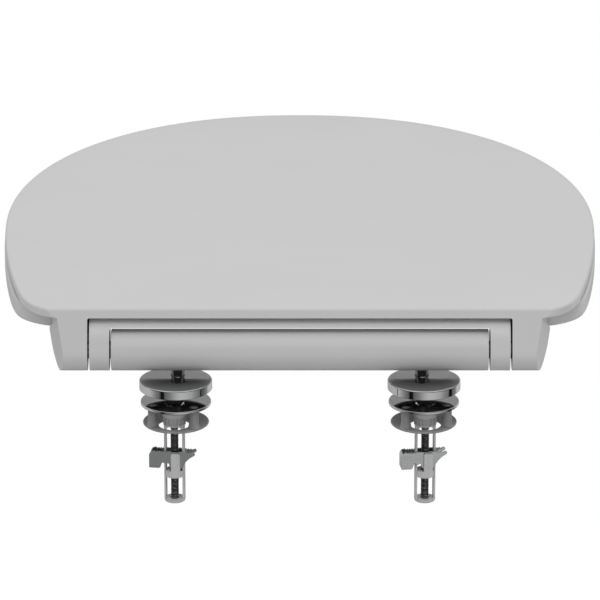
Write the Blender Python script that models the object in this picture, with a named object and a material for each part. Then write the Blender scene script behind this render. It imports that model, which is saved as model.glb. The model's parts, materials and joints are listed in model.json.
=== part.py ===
"""A toilet seat with its lid, barrel hinge and two top-fix toggle fixings, closed, as it is supplied.

Metres, +Z up. The origin is midway between the two fixing screws, at the underside of the spacer washers,
where the pan's top face lies. +X is to the right seen from behind the hinge, and +Y runs from the hinge to
the front of the seat. The seat's pieces are drawn from the hinge axis, and each fixing's from its screw.
"""

import math

import bmesh
import bpy
from mathutils import Matrix, Vector

# Where the hinge and the fixings stand
FIXING_SPACING = 0.155
FIXING_TURN = math.radians(8)
HINGE_SETBACK = 0.0144
HINGE_HEIGHT = 0.045

# Running clearances and the gaps between pieces that touch
CLEARANCE = 0.0003
EAR_GAP = 0.001

# Barrel, pins and soft-close cartridges
BARREL_RADIUS = 0.0129
BAR_BEYOND_FIXING = 0.0389
BAR_CHAMFER = 0.0006
PIN_RADIUS = 0.0055
CARTRIDGE_RADIUS = 0.0087
CARTRIDGE_FROM_POST = 0.0042
CARTRIDGE_END = 0.006
BUSH_WALL = 0.0013

# Hinge ears, which lean with the rear face of the seat
SEAT_EAR_WIDTH = 0.0125
LID_EAR_WIDTH = 0.0184
FACE_LEAN = math.radians(20)
FLANK_TAPER = math.radians(14)
FLANK_LEAN = math.radians(3)
FLANK_TWIST = 3.6
LID_BORE_DEPTH = 0.013
SEAT_EAR_DEPTH = 0.019

# Lid
LID_HALF_WIDTH = 0.1903
LID_REACH = 0.4117
WIDEST_AHEAD = 0.1756
CORNER_BEYOND_EAR = 0.004
REAR_EDGE_BACK = 0.0047
CORNER_AHEAD = 0.0337
LID_TOP = 0.0282
LID_THICKNESS = 0.0058
LID_EDGE_RADIUS = 0.0016
LID_CROWN = 0.0024
LID_RIM_WIDTH = 0.012
LID_RECESS = 0.0012
BAND_TILT = math.radians(4.4)
SEAT_SLOPE = math.radians(0.65)

# Seat ring
LID_GAP = 0.001
RING_PROUD = 0.0006
RING_THICKNESS = 0.011
REAR_THICKNESS = 0.0053
OPENING_HALF_WIDTH = 0.112
OPENING_BACK = 0.080
RIM_AT_FRONT = 0.0641
OPENING_WIDEST = 0.205
NOTCH_DEPTH = 0.0166
NOTCH_ROOM = 0.0074
PRONG_BACK = 0.0016
REAR_ROLL = 0.010

# Rubber feet of the ring and buffers of the lid
BUMPER_RADIUS = 0.0105
BUMPER_HEIGHT = 0.011
BUMPER_STEM_RADIUS = 0.0045
BUMPER_STEM_LENGTH = 0.0045
BUMPER_FROM_FRONT = 0.0901
REAR_BUMPER_AHEAD = 0.098
BUFFER_RADIUS = 0.0065
BUFFER_STEM_RADIUS = 0.0025
BUFFER_STEM_LENGTH = 0.0022
BUFFER_FROM_FRONT = 0.1121

# Posts and cover caps
POST_RADIUS = 0.0043
POST_FROM_PLATE_CENTRE = 0.0083
POST_IN_BAR = 0.0169
RIVET_RADIUS = 0.003
RIVET_HEAD_RADIUS = 0.0042
RIVET_HEAD_HEIGHT = 0.0012
CAP_RADIUS = 0.0225
CAP_HEIGHT = 0.00585
CAP_WALL = 0.0012
CAP_BEVEL = 0.0006
CAP_BOTTOM = 0.0227

# Base plates
PLATE_RADIUS = 0.0218
PLATE_THICKNESS = 0.002
PLATE_TOP = 0.0148
DIMPLE_RADIUS = 0.00625
DIMPLE_DEPTH = 0.0044
DIMPLE_WALL = 0.0012
PEG_SPREAD = 0.0129
PEG_BACK = 0.0105
PEG_RADIUS = 0.0026

# Spacer washers
WASHER_RADIUS = 0.02045
WASHER_THICKNESS = 0.0013
WASHER_OPENING_X = 0.0098
WASHER_OPENING_Y = 0.0106
BOSS_RADIUS = 0.0037

# Screws
SCREW_RADIUS = 0.00245
SCREW_HEAD_RADIUS = 0.0044
SCREW_LENGTH = 0.0612
DRIVE_WIDTH = 0.0011
DRIVE_LENGTH = 0.0046
DRIVE_DEPTH = 0.0018

# Cages
FLANGE_RADIUS = 0.0086
FLANGE_HEIGHT = 0.0059
CAGE_RADIUS = 0.00655
CAGE_BOTTOM = -0.0493
CUP_HEIGHT = 0.0036
CUP_FLOOR = 0.0012
WINDOW_TOP = 0.0013
LEG_THICKNESS = 0.00145
LEG_HALF_WIDTH = 0.0024

# Nut carriers and toggles
CARRIER_RADIUS = 0.00615
CARRIER_BOTTOM = -0.0327
CARRIER_HEIGHT = 0.0042
TONGUE_HALF_WIDTH = 0.00275
TONGUE_THICKNESS = 0.0015
TONGUE_TOP = -0.0164
PIVOT_SIDE = 0.00135
PIVOT_HEIGHT = -0.024
PIVOT_RADIUS = 0.00145
TOGGLE_HALF_DEPTH = 0.00415
TOGGLE_SHEET = 0.0012
TOGGLE_EAR_RADIUS = 0.0042
TOGGLE_RISE = 0.0082
TOGGLE_LEFT = 0.0168
TOGGLE_RIGHT = 0.01195
TOGGLE_LOBE_HEIGHT = 0.0102
TOGGLE_LOBE_LENGTH = 0.0067
TOOTH_PITCH = 0.0015
TOOTH_HEIGHT = 0.0007

# How finely round pieces are divided
FINE_STEPS = 40
PLAIN_STEPS = 24
SMALL_STEPS = 14
SMOOTH_ANGLE = math.radians(32)

# Places worked out from the sizes above
POST_FROM_SCREW = HINGE_SETBACK / math.cos(FIXING_TURN)
POST_X = FIXING_SPACING / 2 - POST_FROM_SCREW * math.sin(FIXING_TURN)
BAR_HALF_LENGTH = FIXING_SPACING / 2 + BAR_BEYOND_FIXING
CARTRIDGE_LENGTH = BAR_HALF_LENGTH - CLEARANCE - POST_X - POST_RADIUS - CARTRIDGE_FROM_POST
PIN_INSERT = CARTRIDGE_LENGTH - CARTRIDGE_END
PLATE_CENTRE = POST_FROM_SCREW - POST_FROM_PLATE_CENTRE
PLATE_BOTTOM = PLATE_TOP - PLATE_THICKNESS
PEG_LINE = PLATE_CENTRE - PEG_BACK
SEAT_EAR_INNER = BAR_HALF_LENGTH + EAR_GAP
SEAT_EAR_OUTER = SEAT_EAR_INNER + SEAT_EAR_WIDTH
LID_EAR_INNER = SEAT_EAR_OUTER + EAR_GAP
LID_EAR_OUTER = LID_EAR_INNER + LID_EAR_WIDTH
REAR_HALF_WIDTH = LID_EAR_OUTER + CORNER_BEYOND_EAR
OPENING_FRONT = LID_REACH - RIM_AT_FRONT
FRONT_BUMPER_AHEAD = LID_REACH - BUMPER_FROM_FRONT
BUFFER_AHEAD = LID_REACH - BUFFER_FROM_FRONT
LID_BOTTOM = LID_TOP - LID_THICKNESS
RING_TOP = LID_BOTTOM - LID_GAP
RING_BOTTOM = RING_TOP - RING_THICKNESS
REAR_UNDERSIDE = RING_TOP - REAR_THICKNESS
BORE_RADIUS = PIN_RADIUS + BUSH_WALL + 2 * CLEARANCE
WORLD_SPAN = 0.6


def clear_scene():
    for item in list(bpy.data.objects):
        bpy.data.objects.remove(item, do_unlink=True)


def material(name, colour, roughness, metallic=0.0):
    made = bpy.data.materials.new(name)
    made.use_nodes = True
    shader = made.node_tree.nodes["Principled BSDF"]
    shader.inputs["Base Color"].default_value = (*colour, 1.0)
    shader.inputs["Roughness"].default_value = roughness
    shader.inputs["Metallic"].default_value = metallic
    return made


def empty(name, location, turn=0.0):
    made = bpy.data.objects.new(name, None)
    made.location = location
    made.rotation_euler = (0, 0, turn)
    bpy.context.scene.collection.objects.link(made)
    return made


def solid(name, shape, finish, parent, place=(0, 0, 0)):
    """Turn a bmesh into a named object under its parent empty."""
    bmesh.ops.recalc_face_normals(shape, faces=shape.faces)
    mesh = bpy.data.meshes.new(name)
    shape.to_mesh(mesh)
    shape.free()
    mesh.shade_smooth()
    mesh.set_sharp_from_angle(angle=SMOOTH_ANGLE)
    made = bpy.data.objects.new(name, mesh)
    made.parent = parent
    made.location = place
    if finish:
        mesh.materials.append(finish)
    bpy.context.scene.collection.objects.link(made)
    return made


def helper(name, shape, parent, place=(0, 0, 0)):
    """A shape that only takes part in a Boolean."""
    made = solid(name, shape, None, parent, place)
    made.hide_render = True
    made.display_type = "WIRE"
    return made


def boolean(target, tool, operation):
    modifier = target.modifiers.new(f"{operation.lower()} {tool.name}", "BOOLEAN")
    modifier.operation = operation
    modifier.solver = "EXACT"
    modifier.object = tool


def cut(target, name, shape, place=(0, 0, 0)):
    boolean(target, helper(name, shape, target.parent, place), "DIFFERENCE")


def join(target, name, shape, place=(0, 0, 0)):
    boolean(target, helper(name, shape, target.parent, place), "UNION")


def bridge(shape, lower, upper):
    """Faces between two rings of vertices, or between a ring and a single pole."""
    count = max(len(lower), len(upper))
    for i in range(count):
        j = (i + 1) % count
        corners = [lower[i % len(lower)], lower[j % len(lower)], upper[j % len(upper)], upper[i % len(upper)]]
        shape.faces.new(list(dict.fromkeys(corners)))


def loft(rings, around=False):
    """A closed shape through rings of points; around joins the last ring to the first."""
    shape = bmesh.new()
    made = [[shape.verts.new(point) for point in ring] for ring in rings]
    for lower, upper in zip(made, made[1:]):
        bridge(shape, lower, upper)
    if around:
        bridge(shape, made[-1], made[0])
    for end in (made[0], made[-1]):
        if not around and len(end) > 1:
            shape.faces.new(end)
    return shape


def turned(profile, steps, around=False):
    """Turn a profile of (radius, height) points about Z; a radius of 0 is a pole."""
    rings = []
    for radius, height in profile:
        angles = [2 * math.pi * i / steps for i in range(steps if radius else 1)]
        rings.append([(radius * math.cos(a), radius * math.sin(a), height) for a in angles])
    return loft(rings, around)


def prism(outline, axis, start, end):
    """Extrude an outline along X (points are y, z), along Y (x, z) or along Z (x, y)."""
    order = {"X": lambda u, v, w: (w, u, v), "Y": lambda u, v, w: (u, w, v), "Z": lambda u, v, w: (u, v, w)}
    return loft([[order[axis](u, v, w) for u, v in outline] for w in (start, end)])


def rod(radius, start, end, steps=PLAIN_STEPS, chamfer=0.0):
    """A round bar along X."""
    shape = turned(rounded_rod(radius, end - start, chamfer), steps)
    turn = Matrix.Translation((start, 0, 0)) @ Matrix.Rotation(math.pi / 2, 4, "Y")
    bmesh.ops.transform(shape, matrix=turn, verts=shape.verts)
    return shape


def rounded_rod(radius, length, chamfer):
    if chamfer:
        return [
            (0, 0),
            (radius - chamfer, 0),
            (radius, chamfer),
            (radius, length - chamfer),
            (radius - chamfer, length),
            (0, length),
        ]
    return [(0, 0), (radius, 0), (radius, length), (0, length)]


def box(low, high):
    (x0, y0, z0), (x1, y1, z1) = low, high
    return prism([(x0, y0), (x1, y0), (x1, y1), (x0, y1)], "Z", z0, z1)


def arc(centre, radius, start, end, steps):
    """Points on a circle from one angle in degrees to another."""
    points = []
    for i in range(steps + 1):
        angle = math.radians(start + (end - start) * i / steps)
        points.append((centre[0] + radius * math.cos(angle), centre[1] + radius * math.sin(angle)))
    return points


def mixed(first, second, share):
    return [a.lerp(b, share) for a, b in zip(first, second)]


def bezier(controls, steps):
    """Points on a Bezier curve, the first control left out."""
    points = []
    for i in range(1, steps + 1):
        row = [Vector(c) for c in controls]
        while len(row) > 1:
            row = [a.lerp(b, i / steps) for a, b in zip(row, row[1:])]
        points.append(row[0])
    return points


# The plan of the lid, from which the ring and both rims are offset

# Each outline's corner and side: curve controls as shares of the way out from the rear's half width to the
# widest, and of the way ahead, with the share of the way out at which the corner ends
LID_CORNER = ((0.397, 0.135), (0.527, 0.617)), 0.605, ((0.835, 0.303), (1.0, 0.66))
RING_CORNER = ((0.47, 0.29), (0.70, 0.53)), 0.705, ((0.865, 0.298), (1.0, 0.66))
FRONT_POWER_X = 2.18
FRONT_POWER_Y = 2.08
REAR_OVERRUN = 0.010
REAR_STEPS = 14


def seat_plan(corner_shares, corner_out, side_shares):
    """An outline in plan, counter-clockwise, running on behind the rear face so that it can be cut there."""
    swell = LID_HALF_WIDTH - REAR_HALF_WIDTH

    def controls(start, end, shares):
        return [Vector((REAR_HALF_WIDTH + swell * out, start + (end - start) * ahead)) for out, ahead in shares]

    rear = Vector((REAR_HALF_WIDTH, -REAR_EDGE_BACK))
    corner = controls(-REAR_EDGE_BACK, CORNER_AHEAD, corner_shares)
    side = Vector((REAR_HALF_WIDTH + swell * corner_out, CORNER_AHEAD))
    half = [rear + (rear - corner[0]).normalized() * REAR_OVERRUN, rear]
    half += bezier([rear, *corner, side], 7)
    half += bezier([side, *controls(CORNER_AHEAD, WIDEST_AHEAD, side_shares), (LID_HALF_WIDTH, WIDEST_AHEAD)], 8)
    front_steps = 20
    reach = LID_REACH - WIDEST_AHEAD
    for i in range(1, front_steps + 1):
        angle = math.pi / 2 * i / front_steps
        x = LID_HALF_WIDTH * max(math.cos(angle), 0) ** (2 / FRONT_POWER_X)
        half.append(Vector((x if i < front_steps else 0, WIDEST_AHEAD + reach * math.sin(angle) ** (2 / FRONT_POWER_Y))))
    half += [Vector((-p.x, p.y)) for p in reversed(half[:-1])]
    return half + [half[-1].lerp(half[0], i / REAR_STEPS) for i in range(1, REAR_STEPS)]


def lid_plan():
    return seat_plan(*LID_CORNER)


def ring_plan():
    """The plan that the ring's wall stands out from; its rear corners are fuller than the lid's."""
    return seat_plan(*RING_CORNER)


def offset(plan, distance):
    """Move each point of an outline outward by a distance, square to its neighbours."""
    moved = []
    for before, point, after in zip(plan[-1:] + plan[:-1], plan, plan[1:] + plan[:1]):
        along = (point - before).normalized() + (after - point).normalized()
        outward = Vector((along.y, -along.x)).normalized()
        moved.append(point + outward * distance)
    return moved


def opening_point(direction, grow=0.0):
    """The ring's opening in one direction from its centre: a rounded egg, longer at the front."""
    across = OPENING_HALF_WIDTH + grow
    if direction.y > 0:
        along = OPENING_FRONT - OPENING_WIDEST + grow
    else:
        along = OPENING_WIDEST - OPENING_BACK + grow
    power = 2.1
    reach = (abs(direction.x / across) ** power + abs(direction.y / along) ** power) ** (-1 / power)
    return Vector((0, OPENING_WIDEST)) + direction * reach


def opening_plan(plan, grow):
    """The opening's outline, point for point with the plan around it."""
    centre = Vector((0, OPENING_WIDEST))
    return [opening_point((point - centre).normalized(), grow) for point in plan]


def slope_drop(ahead):
    """How far the seat has sloped down at a distance ahead of the hinge axis."""
    return max(ahead, 0.0) * math.tan(SEAT_SLOPE)


def level(plan, height):
    return [Vector((p.x, p.y, height - slope_drop(p.y))) for p in plan]


def shrunk(plan, scale):
    centre = Vector((0, LID_REACH / 2))
    return [centre + (p - centre) * scale for p in plan]


def half_width(plan, ahead):
    """Half the plan's width at a distance ahead of the hinge axis."""
    return max(
        a.x + (b.x - a.x) * (ahead - a.y) / (b.y - a.y)
        for a, b in zip(plan, plan[1:])
        if (a.y - ahead) * (b.y - ahead) <= 0 and a.y != b.y
    )


def ring_middle(ahead):
    """The middle of the ring's side at a distance ahead of the hinge axis."""
    plan = ring_plan()
    opening = opening_plan(plan, 0)
    inner = half_width(opening, ahead) if OPENING_BACK < ahead < OPENING_FRONT else 0
    return (inner + half_width(plan, ahead)) / 2


# Rear face and hinge ears

FACE_OVERRUN = 0.003
FACE_SHAVE = 0.00005


def face_back(height):
    """Where the leaning rear face, tangent to the barrel, stands at a height above the hinge axis."""
    foot = Vector((-math.cos(FACE_LEAN), math.sin(FACE_LEAN))) * BARREL_RADIUS
    return foot.x + (height - foot.y) * math.tan(FACE_LEAN)


def rear_cutter(top, edge_radius, tilt):
    """All that lies behind the rear face, with a rounded edge where it meets the tilted top."""
    start = -0.04
    lean = math.degrees(FACE_LEAN)
    normal = Vector((math.cos(FACE_LEAN), -math.sin(FACE_LEAN)))
    shave = FACE_SHAVE / math.cos(FACE_LEAN)
    tilted = math.degrees(tilt)
    corner_y = face_back(top) + shave
    half_turn = math.radians((90 - lean + tilted) / 2)
    centre_back = edge_radius * math.tan(half_turn)
    up_face = Vector((math.sin(FACE_LEAN), math.cos(FACE_LEAN)))
    centre = Vector((corner_y, top)) - up_face * centre_back + normal * edge_radius
    edge = arc(centre, edge_radius, 180 - lean, 90 + tilted, 5)
    run = 0.08
    outline = [(face_back(start) + shave, start)]
    outline += edge
    outline += [(corner_y + run, top + run * math.tan(tilt)), (corner_y + run, 0.1), (-0.1, 0.1), (-0.1, start)]
    return prism(outline, "X", -WORLD_SPAN / 2, WORLD_SPAN / 2)


def ear_profile(front, top):
    """An ear seen from the side: round below, flat in front, and running on behind the rear face."""
    lean = math.degrees(FACE_LEAN)
    steps = 22
    round_part = arc((0, 0), BARREL_RADIUS, 0, -(180 + lean), steps)
    outward = Vector((-math.cos(FACE_LEAN), math.sin(FACE_LEAN)))
    foot = Vector(round_part[-1]) + outward * FACE_OVERRUN
    head = foot + Vector((math.tan(FACE_LEAN), 1)) * (top - foot.y)
    return round_part + [tuple(foot), tuple(head), (front, top), (front, BARREL_RADIUS * 0.2)]


def flank(y, z):
    """The lid ear's outer face, which opens out towards the front and towards the top."""
    ahead = y - face_back(LID_BOTTOM)
    opening_out = math.tan(FLANK_TAPER) + FLANK_TWIST * (z + BARREL_RADIUS)
    return LID_EAR_OUTER + ahead * opening_out + (z - LID_BOTTOM) * math.tan(FLANK_LEAN)


def lid_ear(side):
    profile = ear_profile(BARREL_RADIUS, (LID_TOP + LID_BOTTOM) / 2)
    inner = [(side * LID_EAR_INNER, y, z) for y, z in profile]
    outer = [(side * flank(y, z), y, z) for y, z in profile]
    return loft([inner, outer])


def seat_ear(side):
    profile = ear_profile(SEAT_EAR_DEPTH, (RING_TOP + REAR_UNDERSIDE) / 2)
    return prism(profile, "X", side * SEAT_EAR_INNER, side * (SEAT_EAR_OUTER - 2 * CLEARANCE / 3))


# Lid and seat ring


CROWN_POWER = 5


def lid_plate():
    plan = lid_plan()
    rim_slope = 0.0012
    bottom_chamfer = 0.0006
    floor = LID_BOTTOM + LID_RECESS
    centre = Vector((0, LID_REACH / 2))
    rings = [[Vector((centre.x, centre.y, floor - slope_drop(centre.y)))]]
    for scale in (0.5,):
        rings.append(level(shrunk(plan, scale), floor))
    rings.append(level(offset(plan, -LID_RIM_WIDTH - rim_slope), floor))
    rings.append(level(offset(plan, -LID_RIM_WIDTH), LID_BOTTOM))
    rings.append(level(offset(plan, -bottom_chamfer), LID_BOTTOM))
    rings.append(level(plan, LID_BOTTOM + bottom_chamfer))
    for degrees in (0, 30, 60, 90):
        angle = math.radians(degrees)
        inset = LID_EDGE_RADIUS * (1 - math.cos(angle))
        rings.append(level(offset(plan, -inset), LID_TOP - LID_EDGE_RADIUS * (1 - math.sin(angle))))
    for scale in (0.95, 0.87, 0.72, 0.4):
        rings.append(level(shrunk(plan, scale), LID_TOP + LID_CROWN * (1 - scale**CROWN_POWER)))
    rings.append([Vector((centre.x, centre.y, LID_TOP + LID_CROWN - slope_drop(centre.y)))])
    return loft(rings)


def build_lid(parent, finish):
    lid = solid("lid", lid_plate(), finish, parent)
    for side, word in ((-1, "left"), (1, "right")):
        join(lid, f"lid_ear_{word}", lid_ear(side))
    cut(lid, "lid_rear_cut", rear_cutter(LID_TOP, LID_EDGE_RADIUS, BAND_TILT))
    for side, word in ((-1, "left"), (1, "right")):
        start, end = sorted((side * (LID_EAR_INNER - EAR_GAP / 2), side * (LID_EAR_INNER + LID_BORE_DEPTH)))
        cut(lid, f"lid_bore_{word}", rod(BORE_RADIUS, start, end))
        cut(lid, f"lid_buffer_hole_{word}", buffer_hole(), buffer_place(side))
    return lid


def ring_plate():
    plan = ring_plan()
    # Each row is how far the wall stands out from the ring's plan, and its height below the ring's top
    wall = (
        (RING_PROUD - 0.0052, RING_THICKNESS),
        (RING_PROUD - 0.0026, RING_THICKNESS - 0.0010),
        (RING_PROUD - 0.0009, RING_THICKNESS * 0.62),
        (RING_PROUD, RING_THICKNESS * 0.30),
        (RING_PROUD - 0.0003, 0.0013),
        (RING_PROUD - 0.0009, 0.0005),
        (RING_PROUD - 0.0020, 0.0),
    )
    # The same for the wall round the opening
    inside = (
        (0.0080, 0.0020),
        (0.0040, 0.0030),
        (0.0014, 0.0048),
        (0.0004, 0.0072),
        (0.0010, RING_THICKNESS - 0.0016),
        (0.0032, RING_THICKNESS),
    )
    rings = [level(offset(plan, out), RING_TOP - below) for out, below in wall]
    outer = offset(plan, wall[-1][0])
    inner = opening_plan(plan, inside[0][0])
    for share, dish in ((0.3, 0.0002), (0.65, 0.0009)):
        rings.append(level(mixed(outer, inner, share), RING_TOP - dish))
    rings += [level(opening_plan(plan, grow), RING_TOP - below) for grow, below in inside]
    return loft(rings, around=True)


def rear_relief():
    """The space under the ring's rear edge, which rises there to clear the barrel."""
    ramp_end = 0.062
    deep = -0.06
    ramp_drop = REAR_UNDERSIDE - RING_BOTTOM + 0.0018
    outline = [
        (-0.1, REAR_UNDERSIDE),
        (SEAT_EAR_DEPTH + 0.001, REAR_UNDERSIDE),
        (ramp_end, REAR_UNDERSIDE - ramp_drop),
        (ramp_end, deep),
        (-0.1, deep),
    ]
    return prism(outline, "X", -WORLD_SPAN / 2, WORLD_SPAN / 2)


def ear_notch(side):
    """The room in the ring's rear corner for the lid's ear, with the corner's tip cut square."""
    outer = LID_EAR_OUTER + NOTCH_ROOM
    beyond = REAR_HALF_WIDTH + 0.03
    outline = [
        (side * SEAT_EAR_OUTER, -0.1),
        (side * beyond, -0.1),
        (side * beyond, -PRONG_BACK),
        (side * outer, -PRONG_BACK),
        (side * outer, NOTCH_DEPTH),
        (side * SEAT_EAR_OUTER, NOTCH_DEPTH),
    ]
    return prism(outline, "Z", -0.05, 0.05)


def build_seat_ring(parent, finish):
    ring = solid("seat_ring", ring_plate(), finish, parent)
    cut(ring, "ring_relief", rear_relief())
    for side, word in ((-1, "left"), (1, "right")):
        cut(ring, f"ring_notch_{word}", ear_notch(side))
        join(ring, f"seat_ear_{word}", seat_ear(side))
    cut(ring, "ring_rear_cut", rear_cutter(RING_TOP, REAR_ROLL, 0.0))
    for side, word in ((-1, "left"), (1, "right")):
        start, end = sorted((side * (SEAT_EAR_INNER - EAR_GAP / 2), side * (SEAT_EAR_OUTER + EAR_GAP / 2)))
        cut(ring, f"seat_bore_{word}", rod(BORE_RADIUS, start, end))
    for name, place in bumper_places().items():
        cut(ring, f"{name}_hole", bumper_hole(), place)
    return ring


# Bumpers and buffers


def bumper_places():
    """Each foot's place on the ring's underside."""
    places = {}
    for row, ahead in (("front", FRONT_BUMPER_AHEAD), ("rear", REAR_BUMPER_AHEAD)):
        for side, word in ((-1, "left"), (1, "right")):
            height = RING_BOTTOM - slope_drop(ahead)
            places[f"ring_bumper_{row}_{word}"] = (side * ring_middle(ahead), ahead, height)
    return places


def bumper_hole():
    radius = BUMPER_STEM_RADIUS + CLEARANCE
    return turned([(0, -0.002), (radius, -0.002), (radius, BUMPER_STEM_LENGTH), (0, BUMPER_STEM_LENGTH)], SMALL_STEPS)


def bumper():
    """A tapered foot with a stem that plugs into the ring."""
    edge = 0.0012
    top = -2 * CLEARANCE
    foot = top - BUMPER_HEIGHT
    narrow = BUMPER_RADIUS * 0.9
    profile = [
        (0, foot),
        (narrow - edge, foot),
        (narrow, foot + edge),
        (BUMPER_RADIUS, top),
        (BUMPER_STEM_RADIUS, top),
        (BUMPER_STEM_RADIUS, BUMPER_STEM_LENGTH - CLEARANCE - edge / 2),
        (BUMPER_STEM_RADIUS - edge / 2, BUMPER_STEM_LENGTH - CLEARANCE),
        (0, BUMPER_STEM_LENGTH - CLEARANCE),
    ]
    return turned(profile, PLAIN_STEPS)


def buffer_place(side):
    """A buffer's place on the recessed underside of the lid."""
    plan = lid_plan()
    across = half_width(plan, BUFFER_AHEAD)
    ring_edge = half_width(opening_plan(plan, 0), BUFFER_AHEAD)
    x = across - (across - ring_edge) * 0.42
    return (side * x, BUFFER_AHEAD, LID_BOTTOM + LID_RECESS - slope_drop(BUFFER_AHEAD))


def buffer_hole():
    radius = BUFFER_STEM_RADIUS + CLEARANCE
    return turned([(0, -0.002), (radius, -0.002), (radius, BUFFER_STEM_LENGTH), (0, BUFFER_STEM_LENGTH)], SMALL_STEPS)


def buffer():
    top = -2 * CLEARANCE
    foot = -LID_RECESS - LID_GAP + CLEARANCE
    edge = 0.0003
    profile = [
        (0, foot),
        (BUFFER_RADIUS - edge, foot),
        (BUFFER_RADIUS, foot + edge),
        (BUFFER_RADIUS, top),
        (BUFFER_STEM_RADIUS, top),
        (BUFFER_STEM_RADIUS, BUFFER_STEM_LENGTH - CLEARANCE),
        (0, BUFFER_STEM_LENGTH - CLEARANCE),
    ]
    return turned(profile, SMALL_STEPS)


# Barrel, pins, cartridges and bushes


def build_bar(parent, finish):
    bar = solid("hinge_bar", rod(BARREL_RADIUS, -BAR_HALF_LENGTH, BAR_HALF_LENGTH, FINE_STEPS, BAR_CHAMFER), finish, parent)
    depth = CARTRIDGE_LENGTH + 3 * CLEARANCE
    for side, word in ((-1, "left"), (1, "right")):
        start, end = sorted((side * (BAR_HALF_LENGTH - depth), side * (BAR_HALF_LENGTH + EAR_GAP)))
        cut(bar, f"cartridge_bore_{word}", rod(CARTRIDGE_RADIUS + CLEARANCE, start, end))
        socket = post_socket()
        cut(bar, f"post_socket_{word}", socket, (side * POST_X, 0, 0))
    return bar


def post_socket():
    """A blind hole up into the barrel, opened a little at its mouth."""
    radius = POST_RADIUS + CLEARANCE
    mouth = 0.0008
    top = POST_IN_BAR - BARREL_RADIUS + CLEARANCE
    below = -BARREL_RADIUS - 0.002
    lip = -BARREL_RADIUS + mouth
    return turned([(0, below), (radius + mouth + 0.002, below), (radius, lip), (radius, top), (0, top)], PLAIN_STEPS)


def tube(outer, inner, start, end, steps=PLAIN_STEPS):
    """A plain tube along X."""
    shape = turned([(outer, start), (outer, end), (inner, end), (inner, start)], steps, around=True)
    bmesh.ops.transform(shape, matrix=Matrix.Rotation(math.pi / 2, 4, "Y"), verts=shape.verts)
    return shape


def build_hinge_end(side, word, parent, finishes):
    """The cartridge, pin and bushes at one end of the bar."""
    closed_end = 0.003
    outer_end = BAR_HALF_LENGTH - CLEARANCE
    inner_end = outer_end - CARTRIDGE_LENGTH
    bore = PIN_RADIUS + CLEARANCE
    profile = [
        (0, inner_end),
        (CARTRIDGE_RADIUS, inner_end),
        (CARTRIDGE_RADIUS, outer_end),
        (bore, outer_end),
        (bore, inner_end + closed_end),
        (0, inner_end + closed_end),
    ]
    along_x = Matrix.Rotation(side * math.pi / 2, 4, "Y")
    cartridge = turned(profile, PLAIN_STEPS)
    bmesh.ops.transform(cartridge, matrix=along_x, verts=cartridge.verts)
    solid(f"damper_{word}", cartridge, finishes["dark_plastic"], parent)
    pin_start = BAR_HALF_LENGTH - PIN_INSERT
    pin_end = LID_EAR_INNER + LID_BORE_DEPTH - 2 * CLEARANCE
    pin = rod(PIN_RADIUS, pin_start, pin_end, PLAIN_STEPS, BAR_CHAMFER)
    bmesh.ops.transform(pin, matrix=Matrix.Rotation(0 if side > 0 else math.pi, 4, "Z"), verts=pin.verts)
    solid(f"hinge_pin_{word}", pin, finishes["dark_steel"], parent)
    outer = bore + BUSH_WALL
    inset = CLEARANCE / 2
    spans = (
        ("seat_bush", SEAT_EAR_INNER + inset, SEAT_EAR_OUTER - 2 * inset),
        ("lid_bush", LID_EAR_INNER + inset, LID_EAR_INNER + LID_BORE_DEPTH - CLEARANCE),
    )
    for name, start, end in spans:
        solid(f"{name}_{word}", tube(outer, bore, side * start, side * end), finishes["bush_plastic"], parent)


# Fixings, drawn about the screw with the post towards +Y


def peg_places():
    return [(x, PEG_LINE) for x in (-PEG_SPREAD, PEG_SPREAD)]


def post():
    """A turned post: a rivet end in the base plate and a plain end in the bar."""
    shoulder = PLATE_TOP + CLEARANCE
    head = PLATE_BOTTOM - CLEARANCE
    top = HINGE_HEIGHT - BARREL_RADIUS + POST_IN_BAR
    edge = 0.0006
    profile = [
        (0, head - RIVET_HEAD_HEIGHT),
        (RIVET_HEAD_RADIUS * 0.8, head - RIVET_HEAD_HEIGHT),
        (RIVET_HEAD_RADIUS, head - RIVET_HEAD_HEIGHT * 0.5),
        (RIVET_HEAD_RADIUS, head),
        (RIVET_RADIUS, head),
        (RIVET_RADIUS, shoulder),
        (POST_RADIUS, shoulder),
        (POST_RADIUS, top - edge),
        (POST_RADIUS - edge, top),
        (0, top),
    ]
    return turned(profile, PLAIN_STEPS)


def build_cap(word, parent, finish):
    top = CAP_BOTTOM + CAP_HEIGHT
    profile = [
        (0, top),
        (CAP_RADIUS - 3 * CAP_BEVEL, top),
        (CAP_RADIUS - CAP_BEVEL * 0.6, top - CAP_BEVEL * 0.6),
        (CAP_RADIUS, top - 2 * CAP_BEVEL),
        (CAP_RADIUS, CAP_BOTTOM),
        (CAP_RADIUS - CAP_WALL, CAP_BOTTOM),
        (CAP_RADIUS - CAP_WALL, top - 2 * CAP_BEVEL - CAP_WALL),
        (CAP_RADIUS - 2 * CAP_WALL, top - CAP_BEVEL - CAP_WALL),
        (0, top - CAP_BEVEL - CAP_WALL),
    ]
    cap = solid(f"cap_{word}", turned(profile, FINE_STEPS), finish, parent, (0, PLATE_CENTRE, 0))
    radius = POST_RADIUS + CLEARANCE
    hole = turned([(0, CAP_BOTTOM), (radius, CAP_BOTTOM), (radius, top + 0.002), (0, top + 0.002)], PLAIN_STEPS)
    cut(cap, f"cap_hole_{word}", hole, (0, POST_FROM_SCREW, 0))
    return cap


def dimple_depth_at(radius):
    """How far below the plate's top the dimple's cone is at a radius."""
    return (DIMPLE_RADIUS - radius) * DIMPLE_DEPTH / (DIMPLE_RADIUS - SCREW_RADIUS - CLEARANCE)


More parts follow.
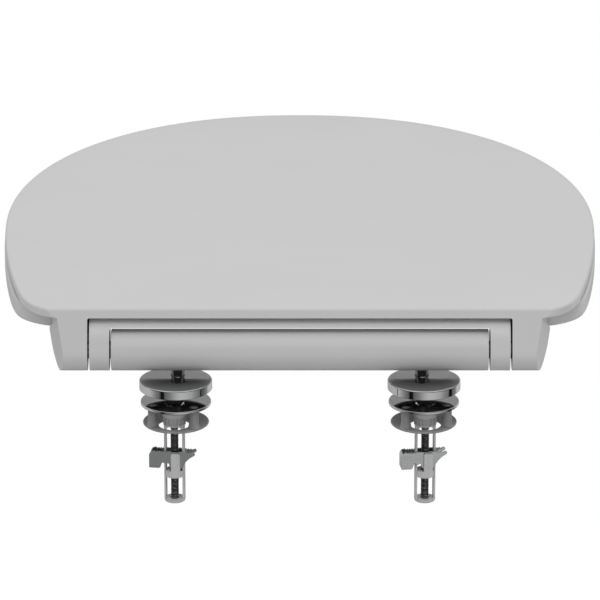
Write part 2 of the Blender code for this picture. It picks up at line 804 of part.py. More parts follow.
def build_base_plate(word, parent, finish):
    edge = 0.0004
    profile = [
        (0, PLATE_BOTTOM),
        (PLATE_RADIUS - edge, PLATE_BOTTOM),
        (PLATE_RADIUS, PLATE_BOTTOM + edge),
        (PLATE_RADIUS, PLATE_TOP - edge),
        (PLATE_RADIUS - edge, PLATE_TOP),
        (0, PLATE_TOP),
    ]
    plate = solid(f"base_plate_{word}", turned(profile, FINE_STEPS), finish, parent, (0, PLATE_CENTRE, 0))
    buried = PLATE_TOP - PLATE_THICKNESS / 2
    tip = PLATE_TOP - DIMPLE_DEPTH - DIMPLE_WALL
    tip_radius = SCREW_RADIUS + CLEARANCE + DIMPLE_WALL
    outside = [(0, buried), (DIMPLE_RADIUS + DIMPLE_WALL, buried), (tip_radius, tip), (0, tip)]
    join(plate, f"dimple_{word}", turned(outside, PLAIN_STEPS))
    above = 0.002
    hole = SCREW_RADIUS + CLEARANCE
    mouth = DIMPLE_RADIUS + above * (DIMPLE_RADIUS - hole) / DIMPLE_DEPTH
    inside = [
        (0, PLATE_TOP + above),
        (mouth, PLATE_TOP + above),
        (hole, PLATE_TOP - DIMPLE_DEPTH),
        (hole, tip - above),
        (0, tip - above),
    ]
    cut(plate, f"dimple_hole_{word}", turned(inside, PLAIN_STEPS))
    for i, (x, y) in enumerate(peg_places()):
        cut(plate, f"peg_hole_{word}_{i}", through_hole(PEG_RADIUS + CLEARANCE), (x, y, PLATE_BOTTOM))
    cut(plate, f"rivet_hole_{word}", through_hole(RIVET_RADIUS + CLEARANCE), (0, POST_FROM_SCREW, PLATE_BOTTOM))
    return plate


def through_hole(radius):
    reach = 0.003
    return turned([(0, -reach), (radius, -reach), (radius, PLATE_THICKNESS + reach), (0, PLATE_THICKNESS + reach)], SMALL_STEPS)


def build_spacer(word, parent, finish):
    edge = 0.0004
    profile = [
        (0, 0),
        (WASHER_RADIUS - edge, 0),
        (WASHER_RADIUS, edge),
        (WASHER_RADIUS, WASHER_THICKNESS - edge),
        (WASHER_RADIUS - edge, WASHER_THICKNESS),
        (0, WASHER_THICKNESS),
    ]
    washer = solid(f"spacer_washer_{word}", turned(profile, FINE_STEPS), finish, parent, (0, PLATE_CENTRE, 0))
    around = [2 * math.pi * (i + 0.37) / PLAIN_STEPS for i in range(PLAIN_STEPS)]
    opening = [(WASHER_OPENING_X * math.cos(a), WASHER_OPENING_Y * math.sin(a)) for a in around]
    cut(washer, f"washer_opening_{word}", prism(opening, "Z", -0.002, WASHER_THICKNESS + 0.002))
    top = PLATE_BOTTOM - CLEARANCE
    boss = [
        (0, WASHER_THICKNESS / 2),
        (BOSS_RADIUS, WASHER_THICKNESS / 2),
        (BOSS_RADIUS, top),
        (PEG_RADIUS, top),
        (PEG_RADIUS, PLATE_TOP - CLEARANCE - edge),
        (PEG_RADIUS - edge, PLATE_TOP - CLEARANCE),
        (0, PLATE_TOP - CLEARANCE),
    ]
    for i, (x, y) in enumerate(peg_places()):
        join(washer, f"boss_{word}_{i}", turned(boss, SMALL_STEPS), (x, y, 0))
    return washer


def build_screw(word, parent, finish):
    """A countersunk screw with a cross recess, seated in the plate's dimple."""
    head_low = PLATE_TOP - dimple_depth_at(SCREW_HEAD_RADIUS) + 1.6 * CLEARANCE
    head_top = head_low + 0.0004
    neck = PLATE_TOP - dimple_depth_at(SCREW_RADIUS) + 1.6 * CLEARANCE
    tip = head_top - SCREW_LENGTH
    profile = [
        (0, head_top),
        (SCREW_HEAD_RADIUS - 0.0002, head_top),
        (SCREW_HEAD_RADIUS, head_low),
        (SCREW_RADIUS, neck),
        (SCREW_RADIUS, tip + 0.0007),
        (SCREW_RADIUS - 0.0007, tip),
        (0, tip),
    ]
    screw = solid(f"screw_{word}", turned(profile, PLAIN_STEPS), finish, parent)
    length, width = DRIVE_LENGTH / 2, DRIVE_WIDTH / 2
    cross = [
        (length, -width), (length, width), (width, width), (width, length), (-width, length), (-width, width),
        (-length, width), (-length, -width), (-width, -width), (-width, -length), (width, -length), (width, -width),
    ]
    cut(screw, f"drive_{word}", prism(cross, "Z", head_top - DRIVE_DEPTH, head_top + 0.001))
    return screw


def build_cage(word, parent, finish):
    """Flange, neck, two legs and an end cup, moulded in one."""
    flange_top = PLATE_BOTTOM - CLEARANCE
    flange_low = flange_top - FLANGE_HEIGHT
    edge = 0.0004
    cup_round = 0.0012
    envelope = [
        (0, flange_top),
        (FLANGE_RADIUS - edge, flange_top),
        (FLANGE_RADIUS, flange_top - edge),
        (FLANGE_RADIUS * 0.96, flange_low),
        (CAGE_RADIUS, flange_low),
        (CAGE_RADIUS, CAGE_BOTTOM + cup_round),
        (CAGE_RADIUS - cup_round * 0.3, CAGE_BOTTOM + cup_round * 0.3),
        (CAGE_RADIUS - cup_round, CAGE_BOTTOM),
        (0, CAGE_BOTTOM),
    ]
    cage = solid(f"cage_{word}", turned(envelope, PLAIN_STEPS), finish, parent)
    tip = PLATE_TOP - DIMPLE_DEPTH - DIMPLE_WALL
    wide = DIMPLE_RADIUS + DIMPLE_WALL
    narrow = SCREW_RADIUS + CLEARANCE + DIMPLE_WALL
    slope = (wide - narrow) / (PLATE_TOP - PLATE_THICKNESS / 2 - tip)
    mouth = narrow + slope * (flange_top + 0.001 - tip) + 1.5 * CLEARANCE
    bore = SCREW_RADIUS + 1.3 * CLEARANCE
    floor = CAGE_BOTTOM + CUP_FLOOR
    inside = [
        (0, flange_top + 0.001),
        (mouth, flange_top + 0.001),
        (narrow + 1.5 * CLEARANCE, tip),
        (narrow + 1.5 * CLEARANCE, tip - CLEARANCE),
        (bore, tip - CLEARANCE),
        (bore, floor),
        (0, floor),
    ]
    cut(cage, f"cage_bore_{word}", turned(inside, PLAIN_STEPS))
    cup_top = CAGE_BOTTOM + CUP_HEIGHT
    far = 0.01
    for side, where in ((-1, "rear"), (1, "front")):
        low, high = sorted((side * LEG_HALF_WIDTH, side * far))
        cut(cage, f"cage_window_{where}_{word}", box((-far, low, cup_top), (far, high, WINDOW_TOP)))
    half = CAGE_RADIUS - LEG_THICKNESS
    arch = arc((0, WINDOW_TOP - half), half, 0, 180, 10)
    outline = [(half, cup_top)] + arch + [(-half, cup_top)]
    cut(cage, f"cage_arch_{word}", prism(outline, "Y", -far, far))
    return cage


def build_carrier(word, parent, finish):
    """A body on the thread, notched for the cage's legs, with two tongues that hold the toggle."""
    top = CARRIER_BOTTOM + CARRIER_HEIGHT
    edge = 0.0005
    profile = [
        (0, CARRIER_BOTTOM),
        (CARRIER_RADIUS - edge, CARRIER_BOTTOM),
        (CARRIER_RADIUS, CARRIER_BOTTOM + edge),
        (CARRIER_RADIUS, top),
        (0, top),
    ]
    carrier = solid(f"nut_carrier_{word}", turned(profile, PLAIN_STEPS), finish, parent)
    inner = TOGGLE_HALF_DEPTH + CLEARANCE
    outer = inner + TONGUE_THICKNESS
    corner = 0.0012
    left, right = PIVOT_SIDE - TONGUE_HALF_WIDTH, PIVOT_SIDE + TONGUE_HALF_WIDTH
    foot = CARRIER_BOTTOM + edge * 1.6
    tongue = [(left, foot), (right, foot)]
    tongue += arc((right - corner, TONGUE_TOP - corner), corner, 0, 90, 4)
    tongue += arc((left + corner, TONGUE_TOP - corner), corner, 90, 180, 4)
    for side, where in ((-1, "back"), (1, "fore")):
        join(carrier, f"tongue_{where}_{word}", prism(tongue, "Y", side * inner, side * outer))
        stub = arc((PIVOT_SIDE, PIVOT_HEIGHT), PIVOT_RADIUS, 0, 337.5, 15)
        boss_end = TOGGLE_HALF_DEPTH - TOGGLE_SHEET
        join(carrier, f"stub_{where}_{word}", prism(stub, "Y", side * boss_end, side * (inner + TONGUE_THICKNESS / 2)))
    reach = 0.01
    slot_inner = CAGE_RADIUS - LEG_THICKNESS - CLEARANCE
    slot_half = LEG_HALF_WIDTH + CLEARANCE
    for side, where in ((-1, "left"), (1, "right")):
        low, high = sorted((side * slot_inner, side * reach))
        slot = box((low, -slot_half, CARRIER_BOTTOM - 0.001), (high, slot_half, top + 0.001))
        cut(carrier, f"leg_slot_{where}_{word}", slot)
    bore = SCREW_RADIUS + CLEARANCE
    hole = turned([(0, CARRIER_BOTTOM - 0.001), (bore, CARRIER_BOTTOM - 0.001), (bore, top + 0.001), (0, top + 0.001)], PLAIN_STEPS)
    cut(carrier, f"thread_{word}", hole)
    return carrier


def toggle_outline():
    """One plate of the toggle, seen from behind, about its pivot: a deep lobe, a round ear and a swept wing."""
    corner = 0.0030
    lobe_low = TOGGLE_RISE - TOGGLE_LOBE_HEIGHT
    left = -TOGGLE_LEFT
    outline = [(left, lobe_low)]
    outline += arc((left + corner, TOGGLE_RISE - corner), corner, 180, 90, 5)
    teeth_start = left + corner + TOOTH_PITCH * 0.3
    for i in range(4):
        x = teeth_start + i * TOOTH_PITCH
        outline += [(x, TOGGLE_RISE), (x + TOOTH_PITCH / 2, TOGGLE_RISE - TOOTH_HEIGHT)]
    outline.append((teeth_start + 4 * TOOTH_PITCH, TOGGLE_RISE))
    wing_teeth = 3
    tip_radius = 0.0011
    teeth_start = TOGGLE_RIGHT - 2 * tip_radius - wing_teeth * TOOTH_PITCH
    for i in range(wing_teeth):
        x = teeth_start + i * TOOTH_PITCH
        outline += [(x, TOGGLE_RISE), (x + TOOTH_PITCH / 2, TOGGLE_RISE - TOOTH_HEIGHT)]
    outline += arc((TOGGLE_RIGHT - tip_radius, TOGGLE_RISE - tip_radius), tip_radius, 90, -60, 5)
    ear_right = math.radians(-28)
    ear_point = (TOGGLE_EAR_RADIUS * math.cos(ear_right), TOGGLE_EAR_RADIUS * math.sin(ear_right))
    wing_control = (ear_point[0] + 0.0030, ear_point[1] + 0.0058)
    outline += [tuple(p) for p in bezier([outline[-1], wing_control, ear_point], 6)]
    outline += arc((0, 0), TOGGLE_EAR_RADIUS, -28 - 16, -28 - 8 * 16, 7)
    hook = 0.0011
    outline += arc((-TOGGLE_EAR_RADIUS - hook * 0.9, -0.0006), hook, -30, 150, 5)
    outline += [(left + TOGGLE_LOBE_LENGTH + 0.0015, 0.0011), (left + TOGGLE_LOBE_LENGTH, lobe_low)]
    return outline


def build_toggle(word, parent, finish):
    """A folded channel: two plates joined by a web at the lobe's end."""
    place = (PIVOT_SIDE, 0, PIVOT_HEIGHT)
    toggle = solid(f"toggle_{word}", prism(toggle_outline(), "Y", -TOGGLE_HALF_DEPTH, TOGGLE_HALF_DEPTH), finish, parent, place)
    inner = TOGGLE_HALF_DEPTH - TOGGLE_SHEET
    far = 0.03
    cut(toggle, f"channel_{word}", box((-TOGGLE_LEFT + TOGGLE_SHEET, -inner, -far), (far, inner, far)), place)
    hole = arc((0, 0), PIVOT_RADIUS + CLEARANCE, 0, 337.5, 15)
    cut(toggle, f"pivot_hole_{word}", prism(hole, "Y", -2 * TOGGLE_HALF_DEPTH, 2 * TOGGLE_HALF_DEPTH), place)
    return toggle


def build_fixing(side, word, finishes):
    frame = empty(f"fixing_{word}", (side * FIXING_SPACING / 2, 0, 0), side * FIXING_TURN)
    solid(f"post_{word}", post(), finishes["chrome"], frame, (0, POST_FROM_SCREW, 0))
    build_cap(word, frame, finishes["chrome"])
    build_base_plate(word, frame, finishes["chrome"])
    build_spacer(word, frame, finishes["spacer_rubber"])
    build_screw(word, frame, finishes["dark_steel"])
    build_cage(word, frame, finishes["fixing_plastic"])
    build_carrier(word, frame, finishes["fixing_plastic"])
    build_toggle(word, frame, finishes["zinc_steel"])


def build():
    clear_scene()
    finishes = {
        "seat_plastic": material("seat_plastic", (0.66, 0.66, 0.66), 0.32),
        "bar_plastic": material("bar_plastic", (0.60, 0.60, 0.60), 0.35),
        "chrome": material("chrome", (0.75, 0.76, 0.77), 0.08, 1.0),
        "dark_steel": material("dark_steel", (0.10, 0.10, 0.10), 0.35, 1.0),
        "zinc_steel": material("zinc_steel", (0.50, 0.52, 0.52), 0.40, 1.0),
        "fixing_plastic": material("fixing_plastic", (0.36, 0.37, 0.37), 0.45),
        "spacer_rubber": material("spacer_rubber", (0.20, 0.20, 0.20), 0.40),
        "dark_plastic": material("dark_plastic", (0.05, 0.05, 0.05), 0.45),
        "bush_plastic": material("bush_plastic", (0.55, 0.55, 0.53), 0.50),
        "foot_rubber": material("foot_rubber", (0.60, 0.60, 0.58), 0.70),
    }
    hinge = empty("hinge_axis", (0, HINGE_SETBACK, HINGE_HEIGHT))
    build_lid(hinge, finishes["seat_plastic"])
    build_seat_ring(hinge, finishes["seat_plastic"])
    build_bar(hinge, finishes["bar_plastic"])
    for side, word in ((-1, "left"), (1, "right")):
        build_hinge_end(side, word, hinge, finishes)
        solid(f"lid_buffer_{word}", buffer(), finishes["foot_rubber"], hinge, buffer_place(side))
        build_fixing(side, word, finishes)
    for name, place in bumper_places().items():
        solid(name, bumper(), finishes["foot_rubber"], hinge, place)


build()
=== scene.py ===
"""Looks of the toilet seat: finely moulded shapes, threads and teeth, and finishes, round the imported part."""

import json
from math import asin, cos, degrees, pi, radians, sin, tan

import bmesh
import bpy
from mathutils import Matrix, Vector


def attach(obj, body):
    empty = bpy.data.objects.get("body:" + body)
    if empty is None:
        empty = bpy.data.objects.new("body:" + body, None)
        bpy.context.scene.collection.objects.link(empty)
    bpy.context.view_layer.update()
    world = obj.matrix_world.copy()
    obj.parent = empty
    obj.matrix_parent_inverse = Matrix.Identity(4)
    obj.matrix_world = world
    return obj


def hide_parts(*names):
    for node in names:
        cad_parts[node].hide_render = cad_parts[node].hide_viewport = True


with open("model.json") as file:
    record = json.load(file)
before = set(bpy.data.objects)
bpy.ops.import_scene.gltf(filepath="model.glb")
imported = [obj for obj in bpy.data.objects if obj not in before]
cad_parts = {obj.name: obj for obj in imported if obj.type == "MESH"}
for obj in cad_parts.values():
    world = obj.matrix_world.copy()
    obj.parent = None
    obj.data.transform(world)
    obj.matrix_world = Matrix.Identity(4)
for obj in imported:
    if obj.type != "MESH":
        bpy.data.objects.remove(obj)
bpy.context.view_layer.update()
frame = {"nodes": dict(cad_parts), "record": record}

# Where the hinge and the fixings stand, in metres

HINGE = Matrix.Translation((0, 0.0144, 0.045))
FIXING_TURN = radians(8)
FIXING_X = 0.0775
HINGE_SETBACK = 0.0144
HINGE_HEIGHT = 0.045
CLEARANCE = 0.0003

# Barrel and ears

BARREL_RADIUS = 0.0129
BAR_HALF = 0.1164
SEAT_EAR_INNER = 0.1174
SEAT_EAR_OUTER = 0.1299
LID_EAR_INNER = 0.1309
LID_EAR_OUTER = 0.1493
FACE_LEAN = radians(20)
FLANK_TAPER = radians(14)
FLANK_LEAN = radians(3)
FLANK_TWIST = 4.6
EAR_SWING_RADIUS = 0.0158
EAR_NECK = 0.1528
BORE_RADIUS = 0.0074
LID_BORE_DEPTH = 0.013
SEAT_EAR_DEPTH = 0.019
FACE_SHAVE = 0.00005
BAR_CHAMFER = 0.0006
CARTRIDGE_BORE = 0.009
CARTRIDGE_DEPTH = 0.0333
POST_SOCKET = ((0, -0.0149), (0.0074, -0.0149), (0.0046, -0.0121), (0.0046, 0.0043), (0, 0.0043))

# Lid and ring

HALF_WIDTH = 0.1903
REACH = 0.4117
WIDEST_AHEAD = 0.1756
REAR_HALF_WIDTH = 0.1533
REAR_EDGE_BACK = 0.0047
CORNER_AHEAD = 0.0337
LID_CORNER = ((0.397, 0.135), (0.527, 0.617))
LID_CORNER_OUT = 0.605
LID_CORNER_RUN = 0.010
LID_FLANK = ((0.835, 0.303), (1.0, 0.66))
FRONT_POWER_X = 2.18
FRONT_POWER_Y = 2.08
LID_TOP = 0.0282
LID_BOTTOM = 0.0224
LID_EDGE_RADIUS = 0.0016
LID_FOOT_RADIUS = 0.0007
LID_ROLL = 0.0022
LID_CROWN = 0.0024
CROWN_POWER = 5
LID_RECESS = 0.0012
BAND_TILT = radians(4.4)
SEAT_SLOPE = radians(0.65)
RING_TOP = 0.0214
RING_BOTTOM = 0.0104
RING_PROUD = 0.0006
RING_REAR = (0.1500, 0.01312)
RING_CORNER = ((0.1520, 0.01315), (0.15468, 0.01334), (0.1692, 0.01726), (0.17611, 0.03341))
RING_FLANK = (0.18296, 0.04941)
RING_STRAIGHT = 0.13082
REAR_UNDERSIDE = 0.0161
REAR_ROLL = 0.0185
OPENING_HALF_WIDTH = 0.112
OPENING_BACK = 0.080
OPENING_FRONT = 0.348
OPENING_WIDEST = 0.205
OPENING_POWER = 2.1
RELIEF_HALF = 0.1172
SLOT_CORNER = 0.0013
BAND_CORNER = 0.0018

# Rubber feet of the ring and buffers of the lid

FOOT_SINK = 0.0006
BUMPERS_AHEAD = (0.322, 0.098)
BUMPER_RADIUS = 0.0105
BUMPER_HEIGHT = 0.011
BUMPER_ROUND = 0.0016
BUMPER_STEM_RADIUS = 0.0045
BUMPER_STEM_TOP = 0.0042
BUMPER_HOLE = 0.0048
BUFFER_AHEAD = 0.300
BUFFER_FROM_EDGE = 0.42
BUFFER_RADIUS = 0.0065
BUFFER_STEM_RADIUS = 0.0025
BUFFER_STEM_TOP = 0.0019
BUFFER_HOLE = 0.0028

# Fixings

POST_FROM_SCREW = HINGE_SETBACK / cos(FIXING_TURN)
PLATE_CENTRE = POST_FROM_SCREW - 0.0083
POST_RADIUS = 0.0043
CAP_RADIUS = 0.0225
CAP_BOTTOM = 0.0227
CAP_HEIGHT = 0.00585
CAP_WALL = 0.0012
CAP_BEVEL = 0.0006
CAP_ROUND = 0.0009
LINING_WALL = 0.0005
LINING_GAP = 0.00005
RIVET_RADIUS = 0.003
RIVET_HEAD_RADIUS = 0.0042
PLATE_RADIUS = 0.0218
PLATE_TOP = 0.0148
PLATE_BOTTOM = 0.0128
DIMPLE_RADIUS = 0.00625
DIMPLE_DEPTH = 0.0044
DIMPLE_WALL = 0.0012
PEG_SPREAD = 0.0129
PEG_LINE = PLATE_CENTRE - 0.0105
PEG_RADIUS = 0.0026
PEG_HOLE = 0.0029
RIVET_HOLE = 0.0033
WASHER_RADIUS = 0.02045
WASHER_THICKNESS = 0.0013
WASHER_ROUND = 0.00065
WASHER_OPENING_X = 0.0098
WASHER_OPENING_Y = 0.0106
BOSS_RADIUS = 0.0037
BOSS_WAIST = 0.0029
SCREW_RADIUS = 0.00245
SCREW_HEAD_RADIUS = 0.0044
SCREW_LENGTH = 0.0612
DRIVE_LENGTH = 0.0023
DRIVE_WIDTH = 0.00055
DRIVE_DEPTH = 0.0018
THREAD_PITCH = 0.0008
THREAD_DEPTH = 0.0004
THREAD_LENGTH = 0.0436
THREAD_FOOT = -0.0472
RIDGE_SHARE = 1.4
FLANGE_RADIUS = 0.0086
FLANGE_HEIGHT = 0.0059
CAGE_RADIUS = 0.00655
CAGE_NECK = 0.0058
CAGE_BOTTOM = -0.0493
CAGE_ROUND = 0.0014
CAGE_FLOOR = 0.0012
RIB_COUNT = 12
RIB_SIZE = (0.0011, 0.0006, 0.0050)
RIB_HEIGHT = 0.0040
LEG_THICKNESS = 0.00145
LEG_HALF_WIDTH = 0.0024
CUP_TOP = -0.0473
WINDOW_TOP = 0.0013
CARRIER_RADIUS = 0.00615
CARRIER_BOTTOM = -0.0327
CARRIER_TOP = -0.0285
TONGUE_TOP = -0.0164
TONGUE_HALF_WIDTH = 0.00275
TONGUE_THICKNESS = 0.0015
TONGUE_CORNER = 0.0012
PIVOT_SIDE = 0.00135
PIVOT_HEIGHT = -0.024
PIVOT_RADIUS = 0.00145
TOGGLE_HALF_DEPTH = 0.00415
TOGGLE_SHEET = 0.0012
TOGGLE_RISE = 0.0082
TOGGLE_LEFT = 0.0168
TOGGLE_RIGHT = 0.01195
TOGGLE_CORNER = 0.0030
TOGGLE_TIP = 0.0011
TOGGLE_EAR_RADIUS = 0.0042
TOGGLE_EAR_START = -28
LOBE_HEIGHT = 0.0110
LOBE_LENGTH = 0.0067
HOOK_RADIUS = 0.0011
TOOTH_PITCH = 0.0015
TOOTH_DEPTH = 0.0007

SIDES = ((-1, "left"), (1, "right"))
WORLD_SPAN = 0.6
FAR = 0.1


# Shader maths


class Wire:
    """A node tree's socket, on which sums are written as plain expressions."""

    def __init__(self, tree, socket):
        self.tree = tree
        self.socket = socket

    def maths(self, operation, *values):
        return make_node(self.tree, "ShaderNodeMath", dict(enumerate(values)), operation=operation).out(0)

    def __add__(self, other):
        return self.maths("ADD", self, other)

    def __sub__(self, other):
        return self.maths("SUBTRACT", self, other)

    def __mul__(self, other):
        return self.maths("MULTIPLY", self, other)

    def __truediv__(self, other):
        return self.maths("DIVIDE", self, other)

    def between(self, low, high, first=0.0, last=1.0):
        """Run smoothly from first to last as this value goes from low to high."""
        values = {0: self, 1: low, 2: high, 3: first, 4: last}
        return make_node(self.tree, "ShaderNodeMapRange", values, interpolation_type="SMOOTHSTEP").out(0)


class Made:
    """A node that has been placed, whose outputs come back as wires."""

    def __init__(self, tree, node):
        self.tree = tree
        self.node = node

    def out(self, name=0):
        return Wire(self.tree, self.node.outputs[name])


def feed(tree, socket, value):
    """Set a socket from a plain value or from a wire."""
    if isinstance(value, Wire):
        tree.links.new(value.socket, socket)
    else:
        socket.default_value = value


def make_node(tree, kind, sockets=None, **settings):
    """Place a node, set its settings first, and then its sockets from values or wires."""
    node = tree.nodes.new(kind)
    for name, value in settings.items():
        if name == "stops":
            ramp = node.color_ramp
            while len(ramp.elements) < len(value):
                ramp.elements.new(0.5)
            for element, (place, colour) in zip(ramp.elements, value):
                element.position = place
                element.color = (*colour, 1.0)
        else:
            setattr(node, name, value)
    for name, value in (sockets or {}).items():
        feed(tree, node.inputs[name], value)
    return Made(tree, node)


def blend_colour(tree, share, first, second):
    return make_node(tree, "ShaderNodeMix", {0: share, 6: first, 7: second}, data_type="RGBA").out(2)


def grey(level):
    return (level, level, level, 1.0)


class Finish:
    """A material being written: its tree, its shader and the patterns that it uses."""

    def __init__(self, name):
        self.material = bpy.data.materials.new(name)
        self.material.use_nodes = True
        self.tree = self.material.node_tree
        self.shader = self.tree.nodes["Principled BSDF"]
        self.place = make_node(self.tree, "ShaderNodeTexCoord").out("Object")

    def stretched(self, x, y, z):
        sockets = {"Vector": self.place, "Scale": (x, y, z)}
        return make_node(self.tree, "ShaderNodeMapping", sockets).out(0)

    def noise(self, scale, detail=2.0, roughness=0.5, place=None):
        sockets = {"Vector": place or self.place, "Scale": scale, "Detail": detail, "Roughness": roughness}
        return make_node(self.tree, "ShaderNodeTexNoise", sockets).out("Fac")

    def set(self, name, value):
        feed(self.tree, self.shader.inputs[name], value)

    def colour(self, share, first, second):
        self.set("Base Color", blend_colour(self.tree, share, first, second))

    def bump(self, height, distance, strength=1.0):
        sockets = {"Height": height, "Distance": distance, "Strength": strength}
        self.set("Normal", make_node(self.tree, "ShaderNodeBump", sockets).out(0))


def moulded_gloss(name, tone, roughness, peel=0.00001):
    """Pressed thermoset: almost even in colour, with a faint ripple in the gloss."""
    finish = Finish(name)
    cloud = finish.noise(14.0, 3.0)
    finish.colour(cloud.between(0.3, 0.7), grey(tone * 0.99), grey(tone * 1.01))
    finish.set("Roughness", finish.noise(24.0, 2.0).between(0.3, 0.7, roughness - 0.02, roughness + 0.03))
    finish.set("Specular IOR Level", 0.5)
    finish.set("Coat Weight", 0.12)
    finish.set("Coat Roughness", 0.12)
    finish.bump(finish.noise(70.0, 1.0), peel, 0.25)
    return finish.material


def bright_chrome(name, tone=0.64, roughness=0.05):
    """Chrome plate with faint handling marks in the gloss."""
    finish = Finish(name)
    smear = finish.noise(55.0, 4.0)
    finish.colour(smear.between(0.3, 0.7), (tone * 0.96, tone * 0.97, tone * 0.98, 1), grey(tone))
    finish.set("Metallic", 1.0)
    scratch = finish.noise(700.0, 1.0, 0.4, finish.stretched(1.0, 0.12, 1.0))
    dull = smear.between(0.35, 0.7, roughness, roughness + 0.03)
    finish.set("Roughness", dull + scratch.between(0.62, 0.75, 0.0, 0.03))
    finish.bump(finish.noise(260.0, 2.0), 0.000004, 0.3)
    return finish.material


def pressed_zinc(name, tone, roughness):
    """Zinc plate on pressed sheet: rolling lines along the sheet and a cloudy bloom."""
    finish = Finish(name)
    lines = finish.noise(900.0, 2.0, 0.5, finish.stretched(0.1, 1.0, 1.0))
    bloom = finish.noise(180.0, 4.0)
    share = lines.between(0.1, 0.9) * 0.4 + bloom.between(0.2, 0.8) * 0.6
    dull = (tone * 0.94, tone * 0.96, tone * 0.96, 1)
    bright = (tone * 1.02, tone * 1.04, tone * 1.03, 1)
    finish.colour(share, dull, bright)
    finish.set("Metallic", 1.0)
    finish.set("Roughness", share.between(0.2, 0.8, roughness - 0.03, roughness + 0.05))
    finish.bump(lines * 0.6 + bloom * 0.4, 0.000006, 0.2)
    return finish.material


def dark_steel(name):
    """Black-passivated steel, a little brighter where it has been handled."""
    finish = Finish(name)
    rub = finish.noise(500.0, 3.0)
    finish.colour(rub.between(0.4, 0.75), (0.22, 0.22, 0.222, 1), (0.32, 0.32, 0.325, 1))
    finish.set("Metallic", 1.0)
    finish.set("Roughness", rub.between(0.3, 0.7, 0.26, 0.40))
    finish.bump(rub, 0.00001, 0.4)
    return finish.material


def moulded_nylon(name, tone, roughness, tint=(1.0, 1.0, 1.0)):
    """Injection-moulded nylon: fine spark texture, cloudy tone, slight translucency."""
    finish = Finish(name)
    spark = finish.noise(2600.0, 2.0)
    flow = finish.noise(160.0, 3.0, 0.5, finish.stretched(1.0, 1.0, 0.25))
    share = spark.between(0.35, 0.65) * 0.4 + flow.between(0.3, 0.7) * 0.6
    low = tuple(tone * 0.92 * c for c in tint) + (1.0,)
    high = tuple(tone * 1.08 * c for c in tint) + (1.0,)
    finish.colour(share, low, high)
    finish.set("Roughness", share.between(0.2, 0.8, roughness - 0.05, roughness + 0.07))
    finish.set("Subsurface Weight", 0.08)
    finish.set("Subsurface Radius", (0.001, 0.001, 0.001))
    finish.bump(spark * 0.7 + flow * 0.3, 0.00002, 0.45)
    return finish.material


def soft_rubber(name, tone, roughness):
    """Soft polymer with a dull bloom and fine pits."""
    finish = Finish(name)
    bloom = finish.noise(220.0, 4.0)
    pits = finish.noise(3000.0, 1.0)
    finish.colour(bloom.between(0.3, 0.7), grey(tone * 0.88), grey(tone * 1.12))
    finish.set("Roughness", bloom.between(0.3, 0.7, roughness - 0.06, roughness + 0.08))
    finish.bump(pits * 0.5 + bloom * 0.5, 0.00003, 0.5)
    return finish.material


FINISHES = {
    "seat_plastic": moulded_gloss("seat thermoset", 0.63, 0.30),
    "bar_plastic": moulded_gloss("bar moulding", 0.60, 0.36, 0.00002),
    "chrome": bright_chrome("chrome plate"),
    "dark_steel": dark_steel("black passivated steel"),
    "zinc_steel": pressed_zinc("zinc plated sheet", 0.66, 0.26),
    "fixing_plastic": moulded_nylon("grey nylon", 0.56, 0.42),
    "spacer_rubber": soft_rubber("spacer polymer", 0.27, 0.40),
    "dark_plastic": moulded_nylon("damper housing", 0.04, 0.40),
    "bush_plastic": moulded_nylon("natural acetal", 0.55, 0.45, (1.0, 1.0, 0.96)),
    "foot_rubber": soft_rubber("foot rubber", 0.58, 0.62),
}


# Shapes


def bridge(shape, lower, upper):
    count = max(len(lower), len(upper))
    for i in range(count):
        j = (i + 1) % count
        corners = [lower[i % len(lower)], lower[j % len(lower)], upper[j % len(upper)], upper[i % len(upper)]]
        shape.faces.new(list(dict.fromkeys(corners)))


def loft(rings, around=False):
    """A closed shape through rings of points; a ring of one point is a pole."""
    shape = bmesh.new()
    made = [[shape.verts.new(point) for point in ring] for ring in rings]
    for lower, upper in zip(made, made[1:]):
        bridge(shape, lower, upper)
    if around:
        bridge(shape, made[-1], made[0])
    else:
        for end in (made[0], made[-1]):
            if len(end) > 1:
                shape.faces.new(end)
    return shape


def turned(profile, steps=72):
    """Turn a profile of (radius, height) points about Z."""
    rings = []
    for radius, height in profile:
        angles = [2 * pi * i / steps for i in range(steps if radius else 1)]
        rings.append([(radius * cos(a), radius * sin(a), height) for a in angles])
    return loft(rings)


def plug(radius, low, high, steps):
    """An upright rod about Z."""
    return turned([(0, low), (radius, low), (radius, high), (0, high)], steps)


def prism(outline, axis, start, end):
    """Stretch an outline along an axis; its points give the two other axes in order."""
    order = {"X": lambda u, v, w: (w, u, v), "Y": lambda u, v, w: (u, w, v), "Z": lambda u, v, w: (u, v, w)}
    return loft([[order[axis](u, v, w) for u, v in outline] for w in (start, end)])


def box(low, high):
    (x0, y0, z0), (x1, y1, z1) = low, high
    return prism([(x0, y0), (x1, y0), (x1, y1), (x0, y1)], "Z", z0, z1)


def moved(shape, matrix):
    bmesh.ops.transform(shape, matrix=matrix, verts=shape.verts)
    return shape


def shifted(shape, x=0.0, y=0.0, z=0.0):
    return moved(shape, Matrix.Translation((x, y, z)))


def rod(radius, start, end):
    """A rod along X."""
    return moved(plug(radius, start, end, 72), Matrix.Rotation(pi / 2, 4, "Y"))


def arc(centre, radius, start, end, steps):
    points = []
    for i in range(steps + 1):
        angle = radians(start + (end - start) * i / steps)
        points.append((centre[0] + radius * cos(angle), centre[1] + radius * sin(angle)))
    return points


def bezier(controls, steps):
    """Points along a curve with any number of controls, without its first point."""
    points = []
    for i in range(1, steps + 1):
        row = [Vector(c) for c in controls]
        while len(row) > 1:
            row = [a.lerp(b, i / steps) for a, b in zip(row, row[1:])]
        points.append(row[0])
    return points


